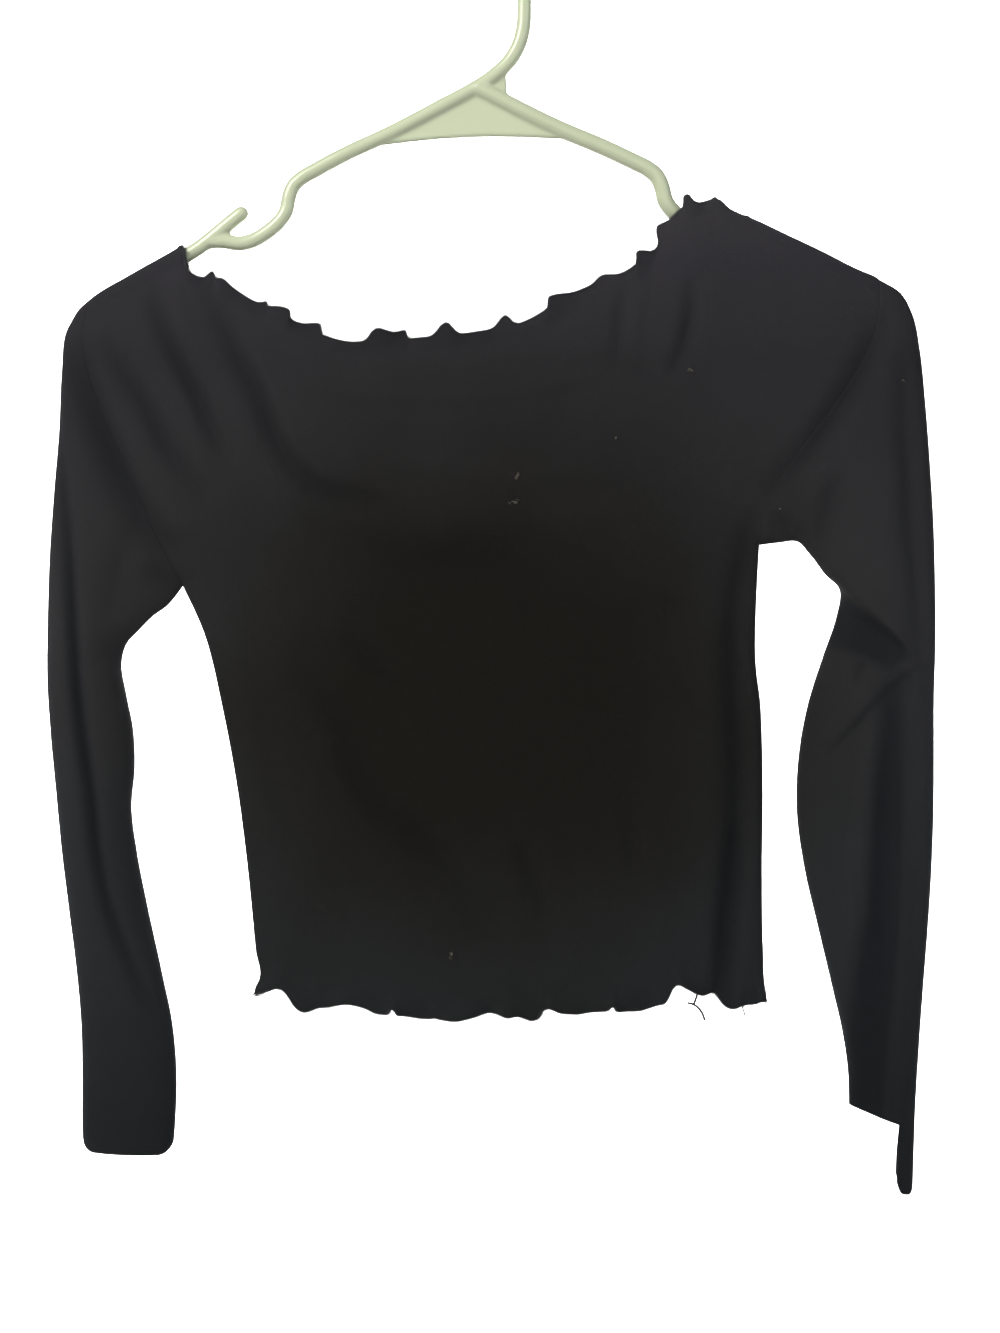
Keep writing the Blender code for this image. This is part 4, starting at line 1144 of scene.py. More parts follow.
        self.curl(points, layer.neck_waves, share, self.neckline_length, outward,
                  (1.0 - vs) * self.panel_height)
        need, _ = self.tube_need(points[:, 0], points[:, 2])
        free = (square > TINY) & (share > 0.0) & (share < 1.0)
        near = (1.0 - vs) * self.panel_height < self.neck_hold
        self.hold_open(layer, points, need, free & near)
        size = (len(rows), len(columns))
        return points.reshape(*size, 3), valley.reshape(size)

    def sleeve_points(self, edge: Curve, table: tuple[SleeveSection, ...], cuff_round: float,
                      shares: Array, pitch: float) -> tuple[Array, Array]:
        """Shape a sleeve.

        Args:
            edge: the armhole's edge of the body panels.
            table: the sleeve's sections from armhole to cuff.
            cuff_round: how far the cuff's corners are rounded.
            shares: places across a section, from the inner seam to the outer fold.
            pitch: distance between rings.

        Returns:
            Points, as rings by places round the sleeve by 3, and how deep in a valley each lies.
        """
        inner, outer = edge(np.array([self.underarm_share, 1.0]))
        first = SleeveSection(*outer, *inner, self.armhole_half_depth, 0.0, 1.0, 0.0)
        table_rows = np.array([astuple(section) for section in (first, *table)])
        steps = (np.linalg.norm(np.diff(table_rows[:, 0:2], axis=0), axis=1)
                 + np.linalg.norm(np.diff(table_rows[:, 2:4], axis=0), axis=1)) / 2.0
        along = np.concatenate(([0.0], np.cumsum(steps)))
        places = graded(0.0, along[-1], self.ring_end, self.ring_end, pitch)
        sections = smooth(along, table_rows)(places)
        rings, valleys = [], []
        for layer in (FRONT, BACK):
            own = shares if layer is FRONT else shares[::-1][1:-1]
            s = np.tile(own, len(sections))
            section = np.repeat(sections, len(own), axis=0)
            armhole = edge(self.underarm_share + s * (1.0 - self.underarm_share))
            chord = inner * (1.0 - s)[:, None] + outer * s[:, None]
            flat = (section[:, 2:4] * (1.0 - s)[:, None] + section[:, 0:2] * s[:, None]
                    + section[:, 6:7] * (armhole - chord))
            lag = 0.0 if layer is FRONT else self.back_tail_lag
            low, high = (share + lag for share in self.tail_shares)
            drop = section[:, 7] * ease((s - low) / (high - low))
            tail = drop / max(float(drop.max()), 1.0)
            middle = (1.0 + high) / 2.0
            flat[:, 0] -= self.tail_lean * tail * (1.0 - s) / (1.0 - high)
            flat[:, 1] -= drop
            aside = np.minimum(1.0, np.abs(s - middle) / (1.0 - middle))
            flat[:, 1] += self.tail_round * (tail * aside) ** self.tail_power
            left = np.repeat(along[-1] - places, len(own))
            corner = 1.0 - np.minimum(np.minimum(s, 1.0 - s) / self.cuff_corner, 1.0)
            corner = 1.0 - np.sqrt(1.0 - corner ** 2)
            flat[:, 1] += cuff_round * corner * ease(1.0 - left / self.cuff_reach)
            square = 4.0 * section[:, 4] ** 2 * s * (1.0 - s)
            points, valley = self.placed(layer, flat, square, section[:, 5])
            rings.append(points.reshape(len(sections), len(own), 3))
            valleys.append(valley.reshape(len(sections), len(own)))
        return np.concatenate(rings, axis=1), np.concatenate(valleys, axis=1)


# --- Finishes -------------------------------------------------------------------------------
class NodeSketch:
    """A node tree, with a short way to add joined nodes to it."""

    def __init__(self, tree: NodeTree) -> None:
        """Start from a tree."""
        self.tree = tree

    def fill(self, node: Node, inputs: Inputs) -> None:
        """Link or set inputs of a node.

        Args:
            node: the node.
            inputs: a socket or a value for each input, by its name or number.
        """
        for key, value in inputs.items():
            if isinstance(value, NodeSocket):
                self.tree.links.new(value, node.inputs[key])
            else:
                node.inputs[key].default_value = value

    def add(self, kind: str, inputs: Inputs | None = None, **settings: object) -> Node:
        """Add a node.

        Args:
            kind: its type.
            inputs: a socket or a value for each input, by its name or number.
            settings: its own properties.

        Returns:
            The node.
        """
        node = self.tree.nodes.new(kind)
        for key, value in settings.items():
            setattr(node, key, value)
        self.fill(node, inputs or {})
        return node


class NodeSheet(NodeSketch):
    """A material's node tree."""

    def __init__(self, name: str) -> None:
        """Start a material with only its shader and output."""
        self.material = bpy.data.materials.new(name)
        self.material.use_nodes = True
        super().__init__(self.material.node_tree)
        self.shader = self.tree.nodes["Principled BSDF"]

    def math(self, operation: str, *values: object) -> NodeSocket:
        """Add a Math node on numbers or sockets and return its output."""
        node = self.add("ShaderNodeMath", dict(enumerate(values)), operation=operation)
        return node.outputs[0]

    def vector(self, operation: str, inputs: Inputs) -> NodeSocket:
        """Add a Vector Math node and return its output."""
        node = self.add("ShaderNodeVectorMath", inputs, operation=operation)
        return node.outputs["Value" if operation == "LENGTH" else "Vector"]

    def mix(self, factor: NodeSocket, first: object, second: object) -> NodeSocket:
        """Mix two colours, each a tuple or a socket."""
        inputs = {"Factor": factor, 6: first, 7: second}
        return self.add("ShaderNodeMix", inputs, data_type="RGBA").outputs[2]

    def bump(self, height: NodeSocket, distance: float) -> None:
        """Raise the surface by a height from 0 to 1, at half strength."""
        inputs = {"Strength": 0.5, "Distance": distance, "Height": height}
        self.fill(self.shader, {"Normal": self.add("ShaderNodeBump", inputs).outputs[0]})

    def finish(self, inputs: Inputs, shown: Colour) -> Material:
        """Give the shader its inputs and return the material.

        Args:
            inputs: the shader's inputs.
            shown: the material's colour without its nodes.

        Returns:
            The material.
        """
        self.fill(self.shader, inputs)
        self.material.diffuse_color = shown
        return self.material


@dataclass(frozen=True)
class JerseyKnit:
    """Near-black fine jersey: browner in the middle, mauve above and bluer below; painted light lightens it towards
    its edges and its top, and painted shade darkens its creases and its knit's grooves.
    """

    name: str = "black_jersey_knit"
    wale_pitch: float = 0.9 * MM
    course_pitch: float = 0.75 * MM
    loop_height: float = 0.14 * MM
    warm: Colour = (0.0118, 0.0109, 0.0086, 1.0)
    # Painted light from above: by height these colours are lightest at the shoulders and darkest at the cuffs, bluer
    # below and mauve above.
    outer: tuple[tuple[float, Colour], ...] = (
        (-0.640, (0.0174, 0.0192, 0.0202, 1.0)),
        (-0.555, (0.0246, 0.0264, 0.0282, 1.0)),
        (-0.380, (0.0355, 0.0352, 0.0372, 1.0)),
        (-0.240, (0.0295, 0.0283, 0.0305, 1.0)),
        (-0.190, (0.0370, 0.0350, 0.0400, 1.0)),
        (-0.150, (0.0520, 0.0490, 0.0540, 1.0)),
    )
    # Painted glare: away from this centre, over these reaches, the dark warm middle gives way to the lighter outer
    # colours.
    centre: tuple[float, float, float] = (0.008, 0.0, -0.420)
    warm_reach: tuple[float, float] = (0.070, 0.285)
    reach_scale: tuple[float, float, float] = (1.15, 0.0, 1.3)
    # Painted shade: groove is the share of the colour left in the knit's grooves.
    groove: float = 0.60
    # shadow tints the creases' painted shade, and ridge_light sets the painted light on ridges.
    shadow: Colour = (0.44, 0.49, 0.54, 1.0)
    ridge_light: float = 0.12
    roughness: float = 0.9
    specular: float = 0.05
    sheen: float = 0.05
    sheen_roughness: float = 0.45
    sheen_tint: Colour = (0.62, 0.66, 0.78, 1.0)
    patch_scale: float = 14.0
    patch_detail: float = 3.0
    patch_depth: float = 0.07
    leg_slant: float = 1.1
    strand_power: float = 0.6

    def loops(self, sheet: NodeSheet) -> NodeSocket:
        """Draw the knit's loops: two slanting legs in each wale.

        Args:
            sheet: the material's node tree.

        Returns:
            Height of the yarn, from 0 to 1.
        """
        uv = sheet.add("ShaderNodeUVMap", uv_map="knit")
        split = sheet.add("ShaderNodeSeparateXYZ", {0: uv.outputs[0]})
        across = sheet.math("FRACT", sheet.math("DIVIDE", split.outputs[0], self.wale_pitch))
        off = sheet.math("ABSOLUTE", sheet.math("SUBTRACT", across, 0.5))
        rise = sheet.math("DIVIDE", split.outputs[1], self.course_pitch)
        slant = sheet.math("MULTIPLY_ADD", off, self.leg_slant, rise)
        turn = sheet.math("SINE", sheet.math("MULTIPLY", slant, 2.0 * math.pi))
        strand = sheet.math("MULTIPLY_ADD", turn, 0.5, 0.5)
        leg = sheet.math("MULTIPLY_ADD", off, 4.0, -1.0)
        round_leg = sheet.math("SUBTRACT", 1.0, sheet.math("MULTIPLY", leg, leg))
        yarn = sheet.math("POWER", strand, self.strand_power)
        return sheet.math("MULTIPLY", yarn, round_leg)

    def by_height(self, sheet: NodeSheet, place: NodeSocket) -> NodeSocket:
        """Paint light on the cloth by its height, lighter at the shoulders and darker at the cuffs.

        Args:
            sheet: the material's node tree.
            place: where the cloth is.

        Returns:
            The colour away from the middle.
        """
        low, high = self.outer[0][0], self.outer[-1][0]
        split = sheet.add("ShaderNodeSeparateXYZ", {0: place})
        height = sheet.add("ShaderNodeMapRange", {
            "Value": split.outputs[2], "From Min": low, "From Max": high})
        ramp = sheet.add("ShaderNodeValToRGB", {"Fac": height.outputs["Result"]})
        stops = ramp.color_ramp.elements
        for _ in self.outer[2:]:
            stops.new(0.5)
        for stop, (z, tone) in zip(stops, self.outer):
            stop.position, stop.color = (z - low) / (high - low), tone
        return ramp.outputs["Color"]

    def build(self) -> Material:
        """Join the cloth's colour, its painted light and painted shade, and its loops.

        Returns:
            The finish.
        """
        sheet = NodeSheet(self.name)
        place = sheet.add("ShaderNodeTexCoord").outputs["Object"]
        off = sheet.vector("SUBTRACT", {0: place, 1: self.centre})
        gap = sheet.vector("LENGTH", {0: sheet.vector("MULTIPLY", {0: off, 1: self.reach_scale})})
        patch = sheet.add("ShaderNodeTexNoise", {
            "Vector": place, "Scale": self.patch_scale, "Detail": self.patch_detail})
        uneven = sheet.math("MULTIPLY_ADD", patch.outputs["Fac"], self.patch_depth,
                            -self.patch_depth / 2.0)
        reach = sheet.add("ShaderNodeMapRange", {
            "Value": sheet.math("ADD", gap, uneven), "From Min": self.warm_reach[0],
            "From Max": self.warm_reach[1]}, interpolation_type="SMOOTHSTEP")
        # Painted glare and painted light from above: the warm dark middle gives way to lighter colours towards the
        # edges and the top.
        colour = sheet.mix(reach.outputs["Result"], self.warm, self.by_height(sheet, place))
        yarn = self.loops(sheet)
        # Painted light on the creases' ridges, from the valley attribute.
        fold = sheet.add("ShaderNodeAttribute", attribute_name="valley").outputs["Fac"]
        lifted = sheet.math("MULTIPLY_ADD", sheet.math("MINIMUM", fold, 0.0),
                          -self.ridge_light, 1.0)
        # Painted shade in the knit's grooves, where the yarn lies low.
        shade = sheet.math("MULTIPLY_ADD", yarn, 1.0 - self.groove, self.groove)
        # Painted shade in the creases' troughs, tinted by shadow.
        shadow = sheet.mix(sheet.math("MAXIMUM", fold, 0.0), WHITE, self.shadow)
        shaded = sheet.vector("MULTIPLY", {0: colour, 1: shadow})
        # The colour with its painted light and painted shade multiplied in.
        painted_light_and_shade = sheet.vector("SCALE", {0: shaded, "Scale": sheet.math("MULTIPLY", shade, lifted)})
        sheet.bump(yarn, self.loop_height)
        return sheet.finish({
            "Base Color": painted_light_and_shade, "Roughness": self.roughness, "Sheen Weight": self.sheen,
            "Sheen Roughness": self.sheen_roughness, "Sheen Tint": self.sheen_tint,
            "Specular IOR Level": self.specular}, self.outer[-1][1])


@dataclass(frozen=True)
class MouldedPlastic:
    """Glossy pale green plastic with a faint parting line round its middle and painted shade on its downward-facing
    sides.
    """

    name: str = "pale_green_moulded_plastic"
    colour: Colour = (0.555, 0.600, 0.420, 1.0)
    thin: Colour = (0.515, 0.570, 0.385, 1.0)
    # Painted shade: the colour that the downward-facing sides darken to.
    under: Colour = (0.330, 0.352, 0.238, 1.0)
    cloud_scale: float = 22.0
    roughness: float = 0.22
    ior: float = 1.49
    specular: float = 0.45
    coat: float = 0.12
    coat_roughness: float = 0.1
    parting_half_width: float = 0.35 * MM
    parting_height: float = 0.15 * MM

    def build(self) -> Material:
        """Join the plastic's colour, its painted shade and its parting line.

        Returns:
            The finish.
        """
        sheet = NodeSheet(self.name)
        place = sheet.add("ShaderNodeTexCoord").outputs["Object"]
        cloud = sheet.add("ShaderNodeTexNoise", {"Vector": place, "Scale": self.cloud_scale})
        # Painted shade: the more a point faces down, the more it takes the darker under colour.
        lower = sheet.add("ShaderNodeAttribute", attribute_name="under")
        colour = sheet.mix(lower.outputs["Fac"],
                           sheet.mix(cloud.outputs["Fac"], self.colour, self.thin), self.under)
        split = sheet.add("ShaderNodeSeparateXYZ", {0: place})
        off = sheet.math("ABSOLUTE", split.outputs[1])
        line = sheet.math("SUBTRACT", 1.0, sheet.math("DIVIDE", off, self.parting_half_width))
        sheet.bump(sheet.math("MAXIMUM", line, 0.0), self.parting_height)
        return sheet.finish({
            "Base Color": colour, "Roughness": self.roughness, "IOR": self.ior,
            "Specular IOR Level": self.specular, "Coat Weight": self.coat,
            "Coat Roughness": self.coat_roughness}, self.colour)


@dataclass(frozen=True)
class PlainFinish:
    """A matt finish of one colour."""

    name: str
    colour: Colour
    roughness: float = 0.9
    specular: float = 0.25
    sheen: float = 0.0

    def build(self) -> Material:
        """Return the finish."""
        return NodeSheet(self.name).finish({
            "Base Color": self.colour, "Roughness": self.roughness,
            "Specular IOR Level": self.specular, "Sheen Weight": self.sheen}, self.colour)


SEWING_THREAD = PlainFinish("black_sewing_thread", (0.0135, 0.0135, 0.0150, 1.0), 0.62, 0.4, 0.2)
LOOSE_THREAD = PlainFinish("loose_thread", (0.03, 0.03, 0.03, 1.0))
PALE_LINT = PlainFinish("pale_lint", (0.12, 0.11, 0.085, 1.0))
PALE_PAPER = PlainFinish("pale_paper", (0.93, 0.93, 0.925, 1.0))


# --- Meshes ---------------------------------------------------------------------------------
def link(name: str, mesh: Mesh, material: Material) -> Object:
    """Put a mesh into the scene.

    Args:
        name: the piece's name.
        mesh: its mesh, in metres and in place.
        material: its finish.

    Returns:
        The new object.
    """
    mesh.name = name
    mesh.materials.clear()
    mesh.materials.append(material)
    mesh.shade_smooth()
    item = bpy.data.objects.new(name, mesh)
    bpy.context.scene.collection.objects.link(item)
    return item


def cast(name: str, plan: bmesh.types.BMesh, material: Material) -> Object:
    """Turn a mesh plan into a piece that faces outwards.

    Args:
        name: the piece's name.
        plan: its closed forms, which are used up.
        material: its finish.

    Returns:
        The piece.
    """
    bmesh.ops.recalc_face_normals(plan, faces=plan.faces)
    mesh = bpy.data.meshes.new(name)
    plan.to_mesh(mesh)
    plan.free()
    return link(name, mesh, material)


def applied(item: Object) -> Mesh:
    """Apply an object's modifiers and remove it.

    Args:
        item: the object, with its modifiers.

    Returns:
        The plain mesh that they make.
    """
    found = item.evaluated_get(bpy.context.evaluated_depsgraph_get())
    mesh, base = bpy.data.meshes.new_from_object(found), item.data
    item.modifiers.clear()
    bpy.data.objects.remove(item, do_unlink=True)
    bpy.data.meshes.remove(base)
    return mesh


def rings_along(path: Sequence[Vector], radius: float) -> list[Ring]:
    """Stand a tube's rings along a path.

    Args:
        path: the tube's centre line.
        radius: the tube's radius.

    Returns:
        Centre, direction and radius of each ring.
    """
    ends = [path[0], *path, path[-1]]
    return [(centre, (after - before).normalized(), radius)
            for before, centre, after in zip(ends, path, ends[2:])]


def add_tube(plan: bmesh.types.BMesh, rings: Sequence[Ring], sides: int) -> None:
    """Add a closed round tube.

    Args:
        plan: the mesh to add to.
        rings: centre, direction and radius of each ring.
        sides: the number of the tube's sides.
    """
    made = []
    for centre, ahead, radius in rings:
        across = ahead.cross(Vector((0.0, 1.0, 0.0)))
        if across.length < NEARLY_PARALLEL:
            across = ahead.cross(Vector((1.0, 0.0, 0.0)))
        across.normalize()
        other = across.cross(ahead)
        ring = []
        for k in range(sides):
            angle = 2.0 * math.pi * k / sides
            offset = across * math.cos(angle) + other * math.sin(angle)
            ring.append(plan.verts.new((centre + offset * radius) * MM))
        made.append(ring)
    for ring, following in zip(made, made[1:]):
        for k in range(sides):
            after = (k + 1) % sides
            plan.faces.new((ring[k], ring[after], following[after], following[k]))
    plan.faces.new(made[0])
    plan.faces.new(made[-1])


@dataclass
class Panel:
    """One cut panel of the top: a grid of points on the middle of its cloth."""

    name: str
    points: Array
    valley: Array
    outward_front: bool
    ring: bool = False
    neck_columns: Array | None = None
    normals: Array = field(init=False, repr=False)

    def index(self) -> Array:
        """Return the number of each point, as the grid has them."""
        return np.arange(self.valley.size).reshape(self.valley.shape)

    def quads(self) -> Array:
        """Join the grid's points.

        Returns:
            Its quads, wound so that they face outwards.
        """
        index = self.index()
        if self.ring:
            index = np.column_stack((index, index[:, :1]))
        a, b = index[:-1, :-1], index[:-1, 1:]
        c, d = index[1:, 1:], index[1:, :-1]
        quads = np.stack((a, b, c, d), axis=-1).reshape(-1, 4)
        return quads if self.outward_front else quads[:, ::-1]

    def face_normals(self) -> Array:
        """Return each quad's normal, twice as long as the quad is large."""
        a, b, c, d = (self.points.reshape(-1, 3)[corner] for corner in self.quads().T)
        return np.cross(c - a, d - b)

    def raw_normals(self) -> Array:
        """Add up the normals round each point.

        Returns:
            Rows of x, y and z, not of length 1.
        """
        face = self.face_normals()
        total = np.zeros((self.valley.size, 3))
        for corner in self.quads().T:
            np.add.at(total, corner, face)
        return total

    def border(self) -> Array:
        """Find the points on the panel's edges.

        Returns:
            Their numbers, rising.
        """
        index = self.index()
        ends = [index[0], index[-1]]
        if not self.ring:
            ends += [index[:, 0], index[:, -1]]
        return np.unique(np.concatenate(ends))

    def lengths(self) -> tuple[Array, Array]:
        """Measure along the grid's lines.

        Returns:
            The distance of each point along its row, and along its column.
        """
        grid = self.points
        if self.ring:
            grid = np.concatenate((grid, grid[:, :1]), axis=1)
        across = np.linalg.norm(np.diff(grid, axis=1), axis=2)
        along = np.linalg.norm(np.diff(grid, axis=0), axis=2)
        u = np.concatenate((np.zeros((len(grid), 1)), np.cumsum(across, axis=1)), axis=1)
        v = np.concatenate((np.zeros((1, grid.shape[1])), np.cumsum(along, axis=0)), axis=0)
        if not self.ring:
            u -= u[:, u.shape[1] // 2][:, None]
        return u, v

    def area(self) -> float:
        """Return the area of the middle of the cloth, in square metres."""
        return float(np.linalg.norm(self.face_normals(), axis=1).sum() / 2.0) * MM * MM


def join_normals(panels: Sequence[Panel], near: float = 0.06) -> None:
    """Give every panel its normals, the same ones on both sides of a seam.

    Args:
        panels: all the panels of the skin.
        near: points nearer than this are one point of the skin.
    """
    totals = [panel.raw_normals() for panel in panels]
    owners = [(p, i) for p, panel in enumerate(panels) for i in panel.border()]
    tree = KDTree(len(owners))
    for k, (p, i) in enumerate(owners):
        tree.insert(panels[p].points.reshape(-1, 3)[i], k)
    tree.balance()
    sums = []
    for p, i in owners:
        found = tree.find_range(panels[p].points.reshape(-1, 3)[i], near)
        sums.append(sum(totals[owners[k][0]][owners[k][1]] for _, k, _ in found))
    for (p, i), total in zip(owners, sums):
        totals[p][i] = total
    for panel, total in zip(panels, totals):
        length = np.maximum(np.linalg.norm(total, axis=1), TINY)
        panel.normals = (total / length[:, None]).reshape(panel.points.shape)


def shell(panel: Panel, half_wall: Array, material: Material) -> Object:
    """Give a panel its wall.

    Args:
        panel: the panel, with its normals.
        half_wall: half the wall's thickness at each point of the grid.
        material: its finish.

    Returns:
        The panel's object, a closed thin shell with the UV map "knit" in metres.
    """
    index, outer = panel.index(), panel.quads()
    count, columns = index.size, index.shape[1]
    flat, normal = panel.points.reshape(-1, 3), panel.normals.reshape(-1, 3)
    half = half_wall.reshape(-1, 1)
    vertices = np.vstack((flat + normal * half, flat - normal * half)) * MM
    rims = [index[0], index[-1][::-1]]
    if panel.ring:
        rims = [np.append(index[0], index[0][0]), np.append(index[-1], index[-1][0])[::-1]]
    else:
        rims += [index[:, -1], index[:, 0][::-1]]
    walls = []
    for rim in rims:
        a, b = rim[:-1], rim[1:]
        wall = np.stack((b, a, a + count, b + count), axis=-1)
        walls.append(wall if panel.outward_front else wall[:, ::-1])
    faces = np.vstack([outer, outer[:, ::-1] + count] + walls)
    mesh = bpy.data.meshes.new(panel.name)
    mesh.from_pydata(vertices.tolist(), [], faces.tolist())
    u, v = panel.lengths()
    place = np.stack((u, v), axis=-1) * MM
    row, column = np.divmod(faces % count, columns)
    if panel.ring:
        wraps = (column == 0) & ((column.max(axis=1) == columns - 1)[:, None])
        column = np.where(wraps, columns, column)
    layer = mesh.uv_layers.new(name="knit")
    layer.data.foreach_set("uv", place[row, column].reshape(-1))
    # The valley attribute carries the creases' painted shade and painted light to the finish.
    valley = mesh.attributes.new("valley", "FLOAT", "POINT")
    valley.data.foreach_set("value", np.tile(panel.valley.reshape(-1), 2))
    return link(panel.name, mesh, material)


# --- The cloth ------------------------------------------------------------------------------
@dataclass
class JerseyTop:
    """The sewn top: four panels with lettuce edges at the neckline and the hem."""

    form: ClothForm
    wall: float = 0.8
    rolled_half: float = 0.85
    roll_reach: float = 1.1
    column_samples: int = 4001
    column_pitch: float = 2.5
    least_pitch: float = 0.42
    wave_pitch_share: float = 0.38
    wave_pitch_growth: float = 0.4
    tip_pitch: float = 0.002
    tip_pitch_growth: float = 0.3
    shoulder_steps: tuple[float, float, float] = (0.1, 0.6, 2.4)
    low_steps: tuple[float, float] = (0.6, 1.4)
    high_steps: tuple[float, float] = (0.3, 0.25)
    row_pitch: float = 3.1
    ring_pitch: float = 1.6
    left_cuff_round: float = 6.4
    seam_sink: float = 0.08
    seam_reach: float = 1.0
    panels: dict[str, Panel] = field(default_factory=dict)

    def rows(self) -> Array:
        """Space the rows of a body panel, close together at hem, underarm and top.

        Returns:
            Shares from the hem to the top.
        """
        height = self.form.panel_height
        underarm = self.form.underarm_share * height
        low = graded(0.0, underarm, *self.low_steps, self.row_pitch)
        high = graded(underarm, height, *self.high_steps, self.row_pitch)
        return np.concatenate((low, high[1:])) / height

    def columns(self, layer: Layer) -> Array:
        """Return the columns of a body panel, close together at its sides and its waves.

        Args:
            layer: the front or the back.

        Returns:
            Shares from the left side to the right one.
        """
        form = self.form
        start, end = form.neck_shares
        left_width = form.neck_tip_x[0] - form.corner_x[0]
        right_width = form.corner_x[1] - form.neck_tip_x[1]
        outer, inner, coarse = self.shoulder_steps
        left = graded(0.0, left_width, outer, inner, coarse) / left_width * start
        right = graded(0.0, right_width, inner, outer, coarse) / right_width
        right = end + right * (1.0 - end)
        fine = np.linspace(start, end, self.column_samples)
        pitch = np.full(len(fine), self.column_pitch / form.neckline_length * (end - start))
        width = SIDES[0].right_x - SIDES[0].left_x
        for waves, neck in ((layer.neck_waves, True), (layer.hem_waves, False)):
            scale = (end - start) / form.neckline_length if neck else 1.0 / width
            for wave, share in zip(waves, form.wave_shares(waves, neck)):
                place = start + share * (end - start) if neck else share
                off = fine - place
                reach = np.where(off < 0.0, wave.reach_before, wave.reach_after) * scale
                least = np.maximum(self.wave_pitch_share * reach, self.least_pitch * scale)
                pitch = np.minimum(pitch, least + self.wave_pitch_growth * np.abs(off))
        for tip in (start, end):
            pitch = np.minimum(
                pitch, self.tip_pitch + self.tip_pitch_growth * np.abs(fine - tip))
        count = np.concatenate(([0.0], np.cumsum((fine[1] - fine[0]) / pitch[1:])))
        steps = np.linspace(0.0, count[-1], math.ceil(count[-1]) + 1)
        return np.concatenate((left, np.interp(steps, count, fine)[1:], right[1:]))

    def cut(self) -> None:
        """Draw all four panels and their shared normals."""
        rows = self.rows()
        share = self.form.underarm_share
        armhole = rows[rows > share - TINY]
        places = (armhole - share) / (1.0 - share)
        for layer, front in ((FRONT, True), (BACK, False)):
            columns = self.columns(layer)
            points, valley = self.form.body_points(layer, columns, rows)
            part = self.form.neck_share(columns)
            neck = (part > -TINY) & (part < 1.0 + TINY)
            self.panels[layer.name] = Panel(layer.name + "_panel", points, valley, front,
                                            neck_columns=neck)
        for name, edge, table, corner, front in (
            ("left", self.form.left_edge, LEFT_SLEEVE, self.left_cuff_round, True),
            ("right", self.form.right_edge, RIGHT_SLEEVE, 0.0, False),
        ):
            points, valley = self.form.sleeve_points(edge, table, corner, places,
                                                     self.ring_pitch)
            self.panels["sleeve_" + name] = Panel(name + "_sleeve", points, valley, front,
                                                  ring=True)
        join_normals(list(self.panels.values()))

    def edge_distance(self, panel: Panel) -> Array:
        """Measure from the nearer lettuce edge.

        Args:
            panel: a body panel.

        Returns:
            The distance of each of its points.
        """
        _, along = panel.lengths()
        from_top = along[-1][None, :] - along
        return np.minimum(along, np.where(panel.neck_columns[None, :], from_top, np.inf))

    def seam_distance(self, panel: Panel) -> Array:
        """Measure from the nearest seam.

        Args:
            panel: any panel.

        Returns:
            The distance of each of its points.
        """
        across, along = panel.lengths()
        if panel.ring:
            return along[:, :-1]
        left = across - across[:, :1]
        right = across[:, -1:] - across
        from_top = along[-1][None, :] - along
        top = np.where(panel.neck_columns[None, :], np.inf, from_top)
        return np.minimum(np.minimum(left, right), top)

    def build(self, jersey: Material) -> dict[str, Object]:
        """Build the four panels.

        Args:
            jersey: the cloth's finish.

        Returns:
            The panel of each CAD node.
        """
        self.cut()
        made = {}
        for name, panel in self.panels.items():
            sink = self.seam_sink * np.exp(-(self.seam_distance(panel) / self.seam_reach) ** 2)
            panel.points = panel.points - panel.normals * sink[..., None]
            half = np.full(panel.points.shape[:2], self.wall / 2.0)
            if not panel.ring:
                swell = np.exp(-(self.edge_distance(panel) / self.roll_reach) ** 2)
                half += (self.rolled_half - self.wall / 2.0) * swell
            made[name] = shell(panel, half, jersey)
        return made

    def lettuce_edges(self) -> dict[str, Array]:
        """Find the lettuce edges.

        Returns:
            The line of each, by its panel and place.
        """
        lines = {}
        for name in ("front", "back"):
            panel = self.panels[name]
            lines[name + "_neckline"] = panel.points[-1][panel.neck_columns]
            lines[name + "_hem"] = panel.points[0]
        return lines


